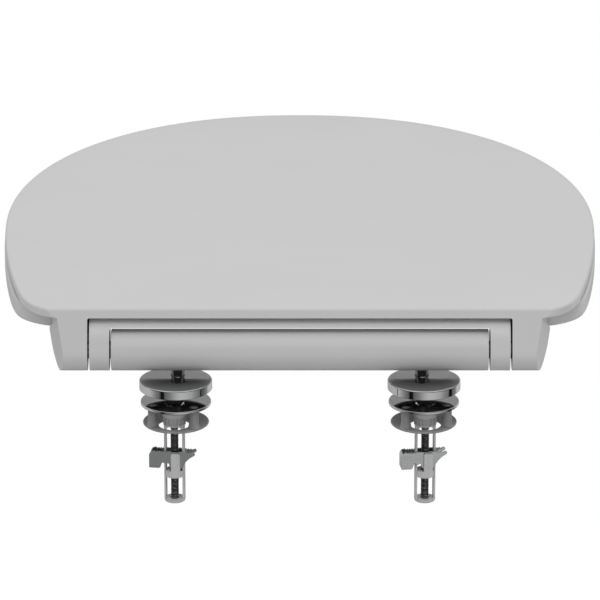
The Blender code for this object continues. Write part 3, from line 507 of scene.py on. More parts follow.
def in_scene(name, data):
    item = bpy.data.objects.new(name, data)
    bpy.context.scene.collection.objects.link(item)
    return item


def temporary(name, shape):
    bmesh.ops.recalc_face_normals(shape, faces=shape.faces)
    mesh = bpy.data.meshes.new(name)
    shape.to_mesh(mesh)
    shape.free()
    return in_scene(name, mesh)


def baked(item):
    """The object's mesh with its modifiers in it; the object itself goes."""
    graph = bpy.context.evaluated_depsgraph_get()
    mesh = bpy.data.meshes.new_from_object(item.evaluated_get(graph))
    bpy.data.objects.remove(item)
    return mesh


def worked(shape, steps=(), bevel=0.0, segments=2, angle=34):
    """Cut and join shapes in turn, and round the edges that are left."""
    item = temporary("work", shape)
    tools = []
    for operation, tool in steps:
        helper = temporary("tool", tool)
        modifier = item.modifiers.new("step", "BOOLEAN")
        modifier.operation = {"cut": "DIFFERENCE", "join": "UNION"}[operation]
        modifier.solver = "EXACT"
        modifier.object = helper
        tools.append(helper)
    if bevel:
        modifier = item.modifiers.new("round", "BEVEL")
        modifier.width = bevel
        modifier.segments = segments
        modifier.limit_method = "ANGLE"
        modifier.angle_limit = radians(angle)
        modifier.use_clamp_overlap = True
    mesh = baked(item)
    for helper in tools:
        bpy.data.objects.remove(helper)
    return mesh


def piece(name, mesh, place, body, slot, stands_for=(), smooth=32):
    """Name a finished mesh, put it in place, and let it ride on its body."""
    mesh.transform(place)
    mesh.name = name
    mesh.shade_smooth()
    mesh.set_sharp_from_angle(angle=radians(smooth))
    mesh.materials.clear()
    mesh.materials.append(FINISHES[slot])
    rough = in_scene(name, mesh)
    rough.modifiers.new("even", "WEIGHTED_NORMAL").keep_sharp = True
    item = in_scene(name, baked(rough))
    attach(item, body)
    if stands_for:
        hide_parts(*stands_for)


# Plan of the lid and the ring


def front_half(half, grow=0.0):
    """Close half an outline with the rounded front and its mirror image."""
    steps = 64
    for i in range(1, steps + 1):
        angle = pi / 2 * i / steps
        x = (HALF_WIDTH + grow) * max(cos(angle), 0) ** (2 / FRONT_POWER_X) if i < steps else 0
        y = WIDEST_AHEAD + (REACH + grow - WIDEST_AHEAD) * sin(angle) ** (2 / FRONT_POWER_Y)
        half.append(Vector((x, y)))
    half += [Vector((-p.x, p.y)) for p in reversed(half[:-1])]
    rear_steps = 40
    return half + [half[-1].lerp(half[0], i / rear_steps) for i in range(1, rear_steps)]


def lid_plan():
    """The lid's outline; its controls are shares of the swell outwards and of the way ahead."""
    swell = HALF_WIDTH - REAR_HALF_WIDTH

    def controls(start, end, shares):
        return [Vector((REAR_HALF_WIDTH + swell * out, start + (end - start) * far)) for out, far in shares]

    rear = Vector((REAR_HALF_WIDTH, -REAR_EDGE_BACK))
    corner = controls(-REAR_EDGE_BACK, CORNER_AHEAD, LID_CORNER)
    side = Vector((REAR_HALF_WIDTH + swell * LID_CORNER_OUT, CORNER_AHEAD))
    half = [rear + (rear - corner[0]).normalized() * LID_CORNER_RUN, rear]
    half += bezier([rear, *corner, side], 18)
    flank = controls(CORNER_AHEAD, WIDEST_AHEAD, LID_FLANK)
    half += bezier([side, *flank, (HALF_WIDTH, WIDEST_AHEAD)], 26)
    return front_half(half)


def ring_plan():
    """The ring's outline, with rear corners that start beside the ears and are rounder than the lid's."""
    widest = HALF_WIDTH + RING_PROUD
    half = [Vector(RING_REAR), Vector(RING_CORNER[0])]
    half += bezier(RING_CORNER, 20)
    half += bezier([RING_CORNER[-1], RING_FLANK, (widest, RING_STRAIGHT), (widest, WIDEST_AHEAD)], 26)
    return front_half(half, RING_PROUD)


def offset(plan, distance):
    """The outline with every point pushed outwards."""
    spread = []
    for before, point, after in zip(plan[-1:] + plan[:-1], plan, plan[1:] + plan[:1]):
        along = (point - before).normalized() + (after - point).normalized()
        spread.append(point + Vector((along.y, -along.x)).normalized() * distance)
    return spread


def opening_plan(plan, grow):
    """The ring's opening, with a point in the direction of each point of the outline."""
    centre = Vector((0, OPENING_WIDEST))
    points = []
    for point in plan:
        direction = (point - centre).normalized()
        along = OPENING_FRONT - OPENING_WIDEST if direction.y > 0 else OPENING_WIDEST - OPENING_BACK
        across = OPENING_HALF_WIDTH + grow
        share = abs(direction.x / across) ** OPENING_POWER
        share += abs(direction.y / (along + grow)) ** OPENING_POWER
        points.append(centre + direction * share ** (-1 / OPENING_POWER))
    return points


def drop(ahead):
    """How far the seat has sloped down at a distance ahead of the hinge."""
    return max(ahead, 0.0) * tan(SEAT_SLOPE)


def level(plan, height):
    return [Vector((p.x, p.y, height - drop(p.y))) for p in plan]


def shrunk(plan, scale):
    centre = Vector((0, REACH / 2))
    return [centre + (p - centre) * scale for p in plan]


def half_width(plan, ahead):
    """Half the outline's width at a distance ahead of the hinge."""
    return max(
        a.x + (b.x - a.x) * (ahead - a.y) / (b.y - a.y)
        for a, b in zip(plan, plan[1:])
        if (a.y - ahead) * (b.y - ahead) <= 0 and a.y != b.y
    )


def face_back(height):
    """Where the leaning rear face is at a height; it touches the barrel."""
    foot = Vector((-cos(FACE_LEAN), sin(FACE_LEAN))) * BARREL_RADIUS
    return foot.x + (height - foot.y) * tan(FACE_LEAN)


def rear_cutter(top, radius, tilt, steps):
    """All that lies behind the leaning rear face, with a rounded edge at the top."""
    lean = degrees(FACE_LEAN)
    start = -0.04
    shave = FACE_SHAVE / cos(FACE_LEAN)
    corner = Vector((face_back(top) + shave, top))
    half_turn = radians((90 - lean + degrees(tilt)) / 2)
    up_face = Vector((sin(FACE_LEAN), cos(FACE_LEAN)))
    normal = Vector((cos(FACE_LEAN), -sin(FACE_LEAN)))
    centre = corner - up_face * radius * tan(half_turn) + normal * radius
    run = 0.08
    outline = [(face_back(start) + shave, start)]
    outline += arc(centre, radius, 180 - lean, 90 + degrees(tilt), steps)
    outline += [(corner.x + run, top + run * tan(tilt)), (corner.x + run, FAR)]
    outline += [(-FAR, FAR), (-FAR, start)]
    return prism(outline, "X", -WORLD_SPAN / 2, WORLD_SPAN / 2)


def ear_profile(front, top):
    """An ear from the side: round below, with a leaning rear face, up to a height inside the shell."""
    round_part = arc((0, 0), BARREL_RADIUS, 0, -(180 + degrees(FACE_LEAN)), 60)
    outward = Vector((-cos(FACE_LEAN), sin(FACE_LEAN)))
    foot = Vector(round_part[-1]) + outward * 0.003
    head = foot + Vector((tan(FACE_LEAN), 1)) * (top - foot.y)
    return round_part + [tuple(foot), tuple(head), (front, top), (front, BARREL_RADIUS * 0.2)]


def corner_prism(x, z, radius, inward, growing):
    """A bar along Y that fills an inner corner with a round, or takes an outer corner down to one."""
    angles = [pi / 2 * i / 8 for i in range(9)]
    if growing:
        margin = 0.0005
        outline = [(x - inward * radius * (1 - sin(a)), z - radius * (1 - cos(a))) for a in angles]
    else:
        margin = 0.0009
        near, low = x - inward * radius, z - radius
        outline = [(near + inward * radius * sin(a), low + radius * cos(a)) for a in angles]
    outline += [(x + inward * margin, z - radius), (x + inward * margin, z + margin)]
    outline.append((x - inward * radius, z + margin))
    return prism(outline, "Y", -0.03, 0.0128)


def lid_ear(side):
    """A lid ear: flat inside, with an outer flank that leans, tapers and twists."""
    profile = ear_profile(BARREL_RADIUS, (LID_TOP + LID_BOTTOM) / 2)

    def flank(y, z):
        ahead = y - face_back(LID_BOTTOM)
        opening_out = tan(FLANK_TAPER) + FLANK_TWIST * (z + BARREL_RADIUS)
        return LID_EAR_OUTER + ahead * opening_out + (z - LID_BOTTOM) * tan(FLANK_LEAN)

    inner = [(side * LID_EAR_INNER, y, z) for y, z in profile]
    return loft([inner, [(side * flank(y, z), y, z) for y, z in profile]])


def lid_shell():
    plan = lid_plan()
    floor = LID_BOTTOM + LID_RECESS
    centre = Vector((0, REACH / 2))
    rings = [[Vector((0, centre.y, floor - drop(centre.y)))]]
    for scale in (0.2, 0.5, 0.8):
        rings.append(level(shrunk(plan, scale), floor))
    for inset, rise in ((0.0145, 1.0), (0.0138, 0.95), (0.0131, 0.5), (0.0124, 0.05), (0.0117, 0.0)):
        rings.append(level(offset(plan, -inset), LID_BOTTOM + LID_RECESS * rise))
    for turn in (-90, -60, -30, 0):
        angle = radians(turn)
        inset = LID_FOOT_RADIUS * (1 - cos(angle))
        rings.append(level(offset(plan, -inset), LID_BOTTOM + LID_FOOT_RADIUS * (1 + sin(angle))))
    for turn in (0, 15, 30, 45, 60, 75, 90):
        angle = radians(turn)
        inset = LID_EDGE_RADIUS * (1 - cos(angle))
        rings.append(level(offset(plan, -inset), LID_TOP - LID_EDGE_RADIUS * (1 - sin(angle))))
    for scale in (0.98, 0.965, 0.95, 0.93, 0.90, 0.87, 0.83, 0.78, 0.72, 0.64, 0.54, 0.42, 0.3, 0.16):
        rings.append(level(shrunk(plan, scale), LID_TOP + LID_CROWN * (1 - scale**CROWN_POWER)))
    rings.append([Vector((0, centre.y, LID_TOP + LID_CROWN - drop(centre.y)))])
    steps = [("join", lid_ear(side)) for side, _ in SIDES]
    wide = degrees(asin(BARREL_RADIUS * 0.3 / EAR_SWING_RADIUS))
    above = arc((0, 0), EAR_SWING_RADIUS, wide, 180 - wide, 40)
    under = LID_BOTTOM - 0.0003
    above += [(-0.03, above[-1][1]), (-0.03, under), (0.03, under), (0.03, above[0][1])]
    for side, _ in SIDES:
        steps.append(("cut", prism(above, "X", side * EAR_NECK, side * (EAR_NECK + 0.02))))
        steps.append(("join", corner_prism(side * LID_EAR_INNER, LID_BOTTOM, SLOT_CORNER, side, True)))
    steps.append(("cut", rear_cutter(LID_TOP, LID_ROLL, BAND_TILT, 10)))
    for side, _ in SIDES:
        start, end = sorted((side * (LID_EAR_INNER - 0.0005), side * (LID_EAR_INNER + LID_BORE_DEPTH)))
        steps.append(("cut", rod(BORE_RADIUS, start, end)))
        steps.append(("cut", shifted(plug(BUFFER_HOLE, -0.002, 0.0022, 40), *buffer_place(side))))
    return worked(loft(rings), steps, 0.0004, 3)


def ring_shell():
    plan = ring_plan()
    thick = RING_TOP - RING_BOTTOM
    wall = (
        (-0.0012, thick), (-0.0005, thick - 0.0003), (-0.0001, thick - 0.0009), (0.0, thick - 0.0016),
        (0.0, 0.0016), (-0.0001, 0.0009), (-0.0005, 0.0003), (-0.0012, 0.0),
    )
    inside = (
        (0.0160, 0.0010), (0.0120, 0.0013), (0.0080, 0.0019), (0.0050, 0.0028), (0.0028, 0.0039),
        (0.0012, 0.0053), (0.0004, 0.0070), (0.0005, thick - 0.0026), (0.0013, thick - 0.0012),
        (0.0026, thick - 0.0003), (0.0045, thick),
    )
    rings = [level(offset(plan, out), RING_TOP - below) for out, below in wall]
    outer = offset(plan, wall[-1][0])
    inner = opening_plan(plan, inside[0][0])
    for share, dish in ((0.12, 0.0001), (0.3, 0.0002), (0.5, 0.0004), (0.7, 0.0006), (0.88, 0.0008)):
        rings.append(level([a.lerp(b, share) for a, b in zip(outer, inner)], RING_TOP - dish))
    rings += [level(opening_plan(plan, grow), RING_TOP - below) for grow, below in inside]
    ramp_end = 0.062
    relief = [(-FAR, REAR_UNDERSIDE), (SEAT_EAR_DEPTH + 0.001, REAR_UNDERSIDE)]
    relief += [(ramp_end, RING_BOTTOM - 0.0018), (ramp_end, -0.06), (-FAR, -0.06)]
    rear_band = [(-0.03, REAR_UNDERSIDE), (-0.03, RING_TOP), (0.0, RING_TOP)]
    rear_band += [(0.026, RING_TOP - drop(0.026) - 0.0004), (0.026, REAR_UNDERSIDE)]
    web = [(0.0138, -0.0005), (0.0138, 0.0150), (0.0215, 0.0150), (0.0215, 0.0060)]
    steps = [("cut", prism(relief, "X", -RELIEF_HALF, RELIEF_HALF))]
    steps.append(("join", prism(rear_band, "X", 0.0003 - SEAT_EAR_OUTER, SEAT_EAR_OUTER - 0.0003)))
    profile = ear_profile(SEAT_EAR_DEPTH, (RING_TOP + REAR_UNDERSIDE) / 2)
    for side, _ in SIDES:
        ear_end = side * (SEAT_EAR_OUTER - 0.0002)
        web_ends = (side * (SEAT_EAR_OUTER - 0.0006), side * (SEAT_EAR_OUTER + 0.0046))
        steps.append(("join", prism(profile, "X", side * SEAT_EAR_INNER, ear_end)))
        steps.append(("join", prism(web, "X", *web_ends)))
        steps.append(("join", corner_prism(side * SEAT_EAR_INNER, REAR_UNDERSIDE, BAND_CORNER, side, True)))
        steps.append(("cut", corner_prism(ear_end, RING_TOP, BAND_CORNER, side, False)))
    steps.append(("cut", rear_cutter(RING_TOP, REAR_ROLL, 0.0, 18)))
    for side, _ in SIDES:
        start, end = sorted((side * (SEAT_EAR_INNER - 0.0005), side * (SEAT_EAR_OUTER + 0.0005)))
        steps.append(("cut", rod(BORE_RADIUS, start, end)))
    for place in bumper_places():
        steps.append(("cut", shifted(plug(BUMPER_HOLE, -0.002, 0.0045, 40), *place)))
    return worked(loft(rings, around=True), steps, 0.0004, 3)


def bumper_places():
    plan = ring_plan()
    opening = opening_plan(plan, 0)
    places = []
    for ahead in BUMPERS_AHEAD:
        middle = (half_width(opening, ahead) + half_width(plan, ahead)) / 2
        places += [(side * middle, ahead, RING_BOTTOM - drop(ahead)) for side, _ in SIDES]
    return places


def buffer_place(side):
    plan = lid_plan()
    across = half_width(plan, BUFFER_AHEAD)
    inner = half_width(opening_plan(plan, 0), BUFFER_AHEAD)
    out = across - (across - inner) * BUFFER_FROM_EDGE
    return (side * out, BUFFER_AHEAD, LID_BOTTOM + LID_RECESS - drop(BUFFER_AHEAD))


# Patterns that repeat, made by geometry nodes


def new_tree(name, inputs):
    """A geometry node tree with named number inputs; returns the tree and its group input."""
    tree = bpy.data.node_groups.new(name, "GeometryNodeTree")
    tree.interface.new_socket("Geometry", in_out="OUTPUT", socket_type="NodeSocketGeometry")
    for label, kind in inputs:
        tree.interface.new_socket(label, in_out="INPUT", socket_type=kind)
    return tree, make_node(tree, "NodeGroupInput")


def close_tree(tree, geometry):
    """End a tree with Realize Instances and Set Material."""
    real = make_node(tree, "GeometryNodeRealizeInstances", {0: geometry}).out(0)
    source = tree.nodes["Group Input"]
    finish = Wire(tree, source.outputs["Finish"])
    painted = make_node(tree, "GeometryNodeSetMaterial", {0: real, "Material": finish})
    make_node(tree, "NodeGroupOutput", {0: painted.out(0)})
    return tree


def grown(tree, values):
    """Run a tree with its inputs set, and return the plain mesh."""
    item = in_scene("grown", bpy.data.meshes.new("grown"))
    modifier = item.modifiers.new("grow", "NODES")
    modifier.node_group = tree
    for socket in tree.interface.items_tree:
        if socket.in_out == "INPUT" and socket.name in values:
            modifier[socket.identifier] = values[socket.name]
    return baked(item)


def thread_tree():
    """A ridge wound round a rod: radius, pitch, depth and length are inputs."""
    inputs = [(label, "NodeSocketFloat") for label in ("Radius", "Pitch", "Depth", "Length")]
    inputs.append(("Finish", "NodeSocketMaterial"))
    tree, source = new_tree("wound thread", inputs)
    turns = source.out("Length") / source.out("Pitch")
    root = source.out("Radius") - source.out("Depth") * 0.5
    wound = {"Resolution": 28, "Rotations": turns, "Start Radius": root, "End Radius": root}
    wound["Height"] = source.out("Length")
    spiral = make_node(tree, "GeometryNodeCurveSpiral", wound)
    edge = {"Resolution": 4, "Radius": source.out("Depth") * 0.62}
    ridge = make_node(tree, "GeometryNodeCurvePrimitiveCircle", edge, mode="RADIUS")
    sweep = {0: spiral.out(0), 1: ridge.out(0), "Fill Caps": True}
    return close_tree(tree, make_node(tree, "GeometryNodeCurveToMesh", sweep).out(0))


def rib_tree():
    """Upright ribs set round a neck: count, radius and size are inputs."""
    inputs = [("Count", "NodeSocketInt"), ("Radius", "NodeSocketFloat"), ("Size", "NodeSocketVector")]
    inputs.append(("Finish", "NodeSocketMaterial"))
    tree, source = new_tree("ribs round a neck", inputs)
    circle = {"Vertices": source.out("Count"), "Radius": source.out("Radius")}
    ring = make_node(tree, "GeometryNodeMeshCircle", circle)
    rib = make_node(tree, "GeometryNodeMeshCube", {"Size": source.out("Size")})
    outwards = make_node(tree, "GeometryNodeInputPosition")
    turn = make_node(tree, "FunctionNodeAlignRotationToVector", {"Vector": outwards.out(0)}, axis="X")
    spread = {"Points": ring.out(0), "Instance": rib.out(0), "Rotation": turn.out(0)}
    return close_tree(tree, make_node(tree, "GeometryNodeInstanceOnPoints", spread).out(0))


# Fixing pieces, drawn about the screw


def cap_shape():
    """A pressed cap with a rounded top edge, a rolled rim and a hole for its post."""
    top = CAP_BOTTOM + CAP_HEIGHT
    r = CAP_RADIUS
    edge = arc((r - CAP_ROUND, top - CAP_ROUND), CAP_ROUND, 0, 90, 8)
    profile = [(0, top)] + list(reversed(edge)) + [(r, CAP_BOTTOM + 0.0003), (r - 0.0004, CAP_BOTTOM)]
    inner = r - CAP_WALL
    under = top - CAP_BEVEL - CAP_WALL
    profile += [(inner + 0.0002, CAP_BOTTOM), (inner, CAP_BOTTOM + 0.0002), (inner, under - CAP_ROUND)]
    profile += arc((inner - CAP_ROUND, under - CAP_ROUND), CAP_ROUND, 15, 90, 5) + [(0, under)]
    shape = shifted(turned(profile, 160), y=PLATE_CENTRE)
    hole = shifted(plug(POST_RADIUS + CLEARANCE, CAP_BOTTOM, top + 0.002, 64), y=POST_FROM_SCREW)
    return worked(shape, [("cut", hole)], 0.00018, 2)


def lining_shape():
    """The dark moulded cup that lines a cover cap, clear of its rounded inner corner."""
    outer = CAP_RADIUS - CAP_WALL - LINING_GAP
    inner = outer - LINING_WALL
    top = CAP_BOTTOM + CAP_HEIGHT - CAP_BEVEL - CAP_WALL - LINING_GAP
    foot = CAP_BOTTOM + 0.0006
    profile = [(0, top), (outer - 0.0011, top), (outer, top - 0.0011), (outer, foot), (inner, foot)]
    profile += [(inner, top - 0.0014), (inner - 0.0008, top - 0.0006), (0, top - 0.0006)]
    shape = shifted(turned(profile, 120), y=PLATE_CENTRE)
    hole = shifted(plug(POST_RADIUS + CLEARANCE, foot - 0.001, top + 0.002, 64), y=POST_FROM_SCREW)
    return worked(shape, [("cut", hole)])


def post_shape():
    """A turned post with a shoulder on the base plate and a peened head under it."""
    shoulder = PLATE_TOP + CLEARANCE
    head = PLATE_BOTTOM - CLEARANCE
    top = HINGE_HEIGHT + 0.004
    r = POST_RADIUS
    profile = [(0, head - 0.0012), (0.0022, head - 0.0012), (0.0032, head - 0.00105), (0.0039, head - 0.0007)]
    profile += [(RIVET_HEAD_RADIUS, head - 0.0003), (RIVET_HEAD_RADIUS, head), (RIVET_RADIUS, head)]
    profile += [(RIVET_RADIUS, shoulder), (r - 0.0002, shoulder), (r, shoulder + 0.0002)]
    profile += [(r, top - 0.0008), (r - 0.0008, top), (0, top)]
    return worked(shifted(turned(profile, 72), y=POST_FROM_SCREW))


def plate_shape():
    """A base plate with a dimple for the screw's head and holes for two pegs and the post."""
    r = PLATE_RADIUS
    profile = [(0, PLATE_BOTTOM), (r - 0.0005, PLATE_BOTTOM)]
    profile += arc((r - 0.0005, PLATE_BOTTOM + 0.0005), 0.0005, -60, 0, 3)
    profile += arc((r - 0.0007, PLATE_TOP - 0.0007), 0.0007, 0, 90, 6) + [(0, PLATE_TOP)]
    plate = shifted(turned(profile, 144), y=PLATE_CENTRE)
    tip = PLATE_TOP - DIMPLE_DEPTH - DIMPLE_WALL
    hole = SCREW_RADIUS + CLEARANCE
    rim = PLATE_TOP - 0.001
    cone = turned([(0, rim), (DIMPLE_RADIUS + DIMPLE_WALL, rim), (hole + DIMPLE_WALL, tip), (0, tip)])
    slope = (DIMPLE_RADIUS - hole) / DIMPLE_DEPTH
    above = PLATE_TOP + 0.002
    inside = [(0, above), (DIMPLE_RADIUS + 0.002 * slope, above), (hole, PLATE_TOP - DIMPLE_DEPTH)]
    inside += [(hole, tip - 0.002), (0, tip - 0.002)]
    steps = [("join", cone), ("cut", turned(inside))]
    holes = [(PEG_HOLE, side * PEG_SPREAD, PEG_LINE) for side, _ in SIDES]
    for radius, x, y in (*holes, (RIVET_HOLE, 0, POST_FROM_SCREW)):
        through = plug(radius, PLATE_BOTTOM - 0.003, PLATE_TOP + 0.003, 48)
        steps.append(("cut", shifted(through, x, y)))
    return worked(plate, steps, 0.00025, 3)


def spacer_shape():
    """A soft washer with an oval opening and two waisted bosses that end in pegs."""
    r = WASHER_RADIUS
    profile = [(0, 0), (r - 0.0004, 0)] + arc((r - WASHER_ROUND, WASHER_ROUND), WASHER_ROUND, -60, 60, 8)
    profile += [(r - 0.0004, WASHER_THICKNESS), (0, WASHER_THICKNESS)]
    washer = shifted(turned(profile, 144), y=PLATE_CENTRE)
    angles = [2 * pi * (i + 0.37) / 96 for i in range(96)]
    ellipse = [(WASHER_OPENING_X * cos(a), WASHER_OPENING_Y * sin(a)) for a in angles]
    steps = [("cut", prism(ellipse, "Z", -0.002, WASHER_THICKNESS + 0.002))]
    top = PLATE_BOTTOM - CLEARANCE
    peg_top = PLATE_TOP - CLEARANCE
    boss = [(0, 0.0006), (BOSS_RADIUS, 0.0006), (BOSS_RADIUS, WASHER_THICKNESS + 0.0001), (0.0035, 0.0020)]
    boss += [(0.0033, 0.0028), (0.0031, 0.0040), (0.0030, 0.0056), (BOSS_WAIST, 0.0074)]
    boss += [(BOSS_WAIST, top - 0.0003), (BOSS_WAIST - 0.0002, top)]
    boss += [(PEG_RADIUS, top), (PEG_RADIUS, peg_top - 0.0005), (PEG_RADIUS - 0.0005, peg_top), (0, peg_top)]
    for x in (-PEG_SPREAD, PEG_SPREAD):
        steps.append(("join", shifted(turned(boss, 48), x, PEG_LINE)))
    return worked(washer, steps, 0.0002, 2)


def cone_height(radius):
    """Height of the screw's countersink at a radius, just clear of the dimple."""
    narrowing = DIMPLE_RADIUS - SCREW_RADIUS - CLEARANCE
    return PLATE_TOP - (DIMPLE_RADIUS - radius) * DIMPLE_DEPTH / narrowing + 1.6 * CLEARANCE


def screw_shape():
    head_low = cone_height(SCREW_HEAD_RADIUS)
    top = head_low + 0.0004
    neck = cone_height(SCREW_RADIUS)
    tip = top - SCREW_LENGTH
    root = SCREW_RADIUS - THREAD_DEPTH
    r = SCREW_HEAD_RADIUS
    profile = [(0, top), (r - 0.0002, top), (r, top - 0.0002), (r, head_low), (SCREW_RADIUS, neck)]
    profile += [(SCREW_RADIUS, neck - 0.012), (root, neck - 0.0128), (root, tip + 0.0007)]
    profile += [(root - 0.0006, tip), (0, tip)]
    long, wide = DRIVE_LENGTH, DRIVE_WIDTH
    arm = [(long, -wide), (long, wide), (wide, wide)]
    cross = []
    for _ in range(4):
        cross += arm
        arm = [(-y, x) for x, y in arm]
    drive = prism(cross, "Z", top - DRIVE_DEPTH, top + 0.001)
    return worked(turned(profile, 56), [("cut", drive)], 0.0001, 1)


def cage_shape():
    """A sleeve with a bowl-shaped flange, a recessed neck, two legs and an end cup."""
    top = PLATE_BOTTOM - CLEARANCE
    low = top - FLANGE_HEIGHT
    r = FLANGE_RADIUS
    profile = [(0, top), (r - 0.0004, top), (r, top - 0.0006), (r * 0.985, low + 0.0038)]
    profile += [(r * 0.95, low + 0.0026), (r * 0.89, low + 0.0014), (r * 0.82, low + 0.0005)]
    profile += [(CAGE_RADIUS + 0.0002, low), (CAGE_RADIUS, low - 0.0002), (CAGE_NECK, low - 0.0005)]
    profile += [(CAGE_NECK, WINDOW_TOP + 0.0012), (CAGE_RADIUS, WINDOW_TOP + 0.0007)]
    turn = CAGE_BOTTOM + CAGE_ROUND
    profile += [(CAGE_RADIUS, turn), *arc((CAGE_RADIUS - CAGE_ROUND, turn), CAGE_ROUND, -15, -90, 6)]
    profile.append((0, CAGE_BOTTOM))
    tip = PLATE_TOP - DIMPLE_DEPTH - DIMPLE_WALL
    wide = DIMPLE_RADIUS + DIMPLE_WALL
    narrow = SCREW_RADIUS + CLEARANCE + DIMPLE_WALL
    slope = (wide - narrow) / (PLATE_TOP - 0.001 - tip)
    mouth = narrow + slope * (top + 0.001 - tip) + 1.5 * CLEARANCE
    bore = SCREW_RADIUS + 1.3 * CLEARANCE
    floor = CAGE_BOTTOM + CAGE_FLOOR
    below = narrow + 1.5 * CLEARANCE
    inside = [(0, top + 0.001), (mouth, top + 0.001), (below, tip), (below, tip - CLEARANCE)]
    inside += [(bore, tip - CLEARANCE), (bore, floor), (0, floor)]
    steps = [("cut", turned(inside, 64))]
    far = 0.01
    for side, _ in SIDES:
        near, away = sorted((side * LEG_HALF_WIDTH, side * far))
        steps.append(("cut", box((-far, near, CUP_TOP), (far, away, WINDOW_TOP))))
    half = CAGE_RADIUS - LEG_THICKNESS
    outline = [(half, CUP_TOP)] + arc((0, WINDOW_TOP - half), half, 0, 180, 24) + [(-half, CUP_TOP)]
    steps.append(("cut", prism(outline, "Y", -far, far)))
    return worked(turned(profile, 72), steps, 0.00022, 2)


def carrier_shape():
    """A nut with slots for the cage's legs and two tongues with bosses for the toggle."""
    r = CARRIER_RADIUS
    profile = [(0, CARRIER_BOTTOM), (r - 0.0005, CARRIER_BOTTOM), (r, CARRIER_BOTTOM + 0.0005)]
    profile += [(r, CARRIER_TOP - 0.0003), (r - 0.0003, CARRIER_TOP), (0, CARRIER_TOP)]
    inner = TOGGLE_HALF_DEPTH + CLEARANCE
    outer = inner + TONGUE_THICKNESS
    corner = TONGUE_CORNER
    left, right = PIVOT_SIDE - TONGUE_HALF_WIDTH, PIVOT_SIDE + TONGUE_HALF_WIDTH
    foot = CARRIER_BOTTOM + 0.0008
    tongue = [(left, foot), (right, foot)]
    tongue += arc((right - corner, TONGUE_TOP - corner), corner, 0, 90, 10)
    tongue += arc((left + corner, TONGUE_TOP - corner), corner, 90, 180, 10)
    stub = arc((PIVOT_SIDE, PIVOT_HEIGHT), PIVOT_RADIUS, 0, 350, 35)
    steps = []
    for side, _ in SIDES:
        steps.append(("join", prism(tongue, "Y", side * inner, side * outer)))
        stub_ends = (side * (TOGGLE_HALF_DEPTH - TOGGLE_SHEET), side * (outer + 0.0003))
        steps.append(("join", prism(stub, "Y", *stub_ends)))
    slot_inner = CAGE_RADIUS - LEG_THICKNESS - CLEARANCE
    slot_half = LEG_HALF_WIDTH + CLEARANCE
    low, high = CARRIER_BOTTOM - 0.001, CARRIER_TOP + 0.001
    for side, _ in SIDES:
        near, away = sorted((side * slot_inner, side * 0.01))
        steps.append(("cut", box((near, -slot_half, low), (away, slot_half, high))))
    steps.append(("cut", plug(SCREW_RADIUS + CLEARANCE, low, high, 56)))
    return worked(turned(profile, 72), steps, 0.00018, 2)


def teeth(start, count):
    points = []
    for i in range(count):
        x = start + i * TOOTH_PITCH
        points += [(x, TOGGLE_RISE), (x + TOOTH_PITCH / 2, TOGGLE_RISE - TOOTH_DEPTH)]
    return points


def toggle_outline():
    """The folded channel from the side, about its pivot: lobe, toothed top, tip, ear and hook."""
    corner, tip = TOGGLE_CORNER, TOGGLE_TIP
    low = TOGGLE_RISE - LOBE_HEIGHT
    left = -TOGGLE_LEFT
    outline = [(left + 0.0007, low), (left + 0.0002, low + 0.0002), (left, low + 0.0007)]
    outline += arc((left + corner, TOGGLE_RISE - corner), corner, 180, 90, 12)
    start = left + corner + TOOTH_PITCH * 0.3
    outline += teeth(start, 4)
    outline.append((start + 4 * TOOTH_PITCH, TOGGLE_RISE))
    outline += teeth(TOGGLE_RIGHT - 2 * tip - 3 * TOOTH_PITCH, 3)
    outline += arc((TOGGLE_RIGHT - tip, TOGGLE_RISE - tip), tip, 90, -60, 10)
    r = TOGGLE_EAR_RADIUS
    angle = radians(TOGGLE_EAR_START)
    ear_point = (r * cos(angle), r * sin(angle))
    control = (ear_point[0] + 0.0030, ear_point[1] + 0.0058)
    outline += [tuple(p) for p in bezier([outline[-1], control, ear_point], 14)]
    outline += arc((0, 0), r, TOGGLE_EAR_START - 6, TOGGLE_EAR_START - 128, 20)
    outline += arc((-r - HOOK_RADIUS * 0.9, -0.0006), HOOK_RADIUS, -30, 150, 14)
    lobe_right = left + LOBE_LENGTH
    outline += [(left + 0.0082, 0.0011), (lobe_right + 0.0003, low + 0.0005), (lobe_right - 0.0005, low)]
    return outline


def toggle_shape():
    """A folded sheet channel, open below and at one end, with pivot holes."""
    inner = TOGGLE_HALF_DEPTH - TOGGLE_SHEET
    body = prism(toggle_outline(), "Y", -TOGGLE_HALF_DEPTH, TOGGLE_HALF_DEPTH)
    hole = arc((0, 0), PIVOT_RADIUS + CLEARANCE, 0, 350, 35)
    steps = [
        ("cut", box((-TOGGLE_LEFT + TOGGLE_SHEET, -inner, -0.03), (0.03, inner, 0.03))),
        ("cut", prism(hole, "Y", -2 * TOGGLE_HALF_DEPTH, 2 * TOGGLE_HALF_DEPTH)),
    ]
    mesh = worked(body, steps, 0.00016, 2, 40)
    mesh.transform(Matrix.Translation((PIVOT_SIDE, 0, PIVOT_HEIGHT)))
    return mesh


def bumper_shape():
    top = -FOOT_SINK
    foot = top - BUMPER_HEIGHT
    r, stem = BUMPER_RADIUS, BUMPER_STEM_RADIUS
    profile = [(0, foot)] + arc((r * 0.9 - BUMPER_ROUND, foot + BUMPER_ROUND), BUMPER_ROUND, -90, -5, 8)
    profile += [(r, top - 0.0003), (r - 0.0003, top), (stem, top), (stem, BUMPER_STEM_TOP - 0.0006)]
    profile += [(stem - 0.0006, BUMPER_STEM_TOP), (0, BUMPER_STEM_TOP)]
    return turned(profile, 72)


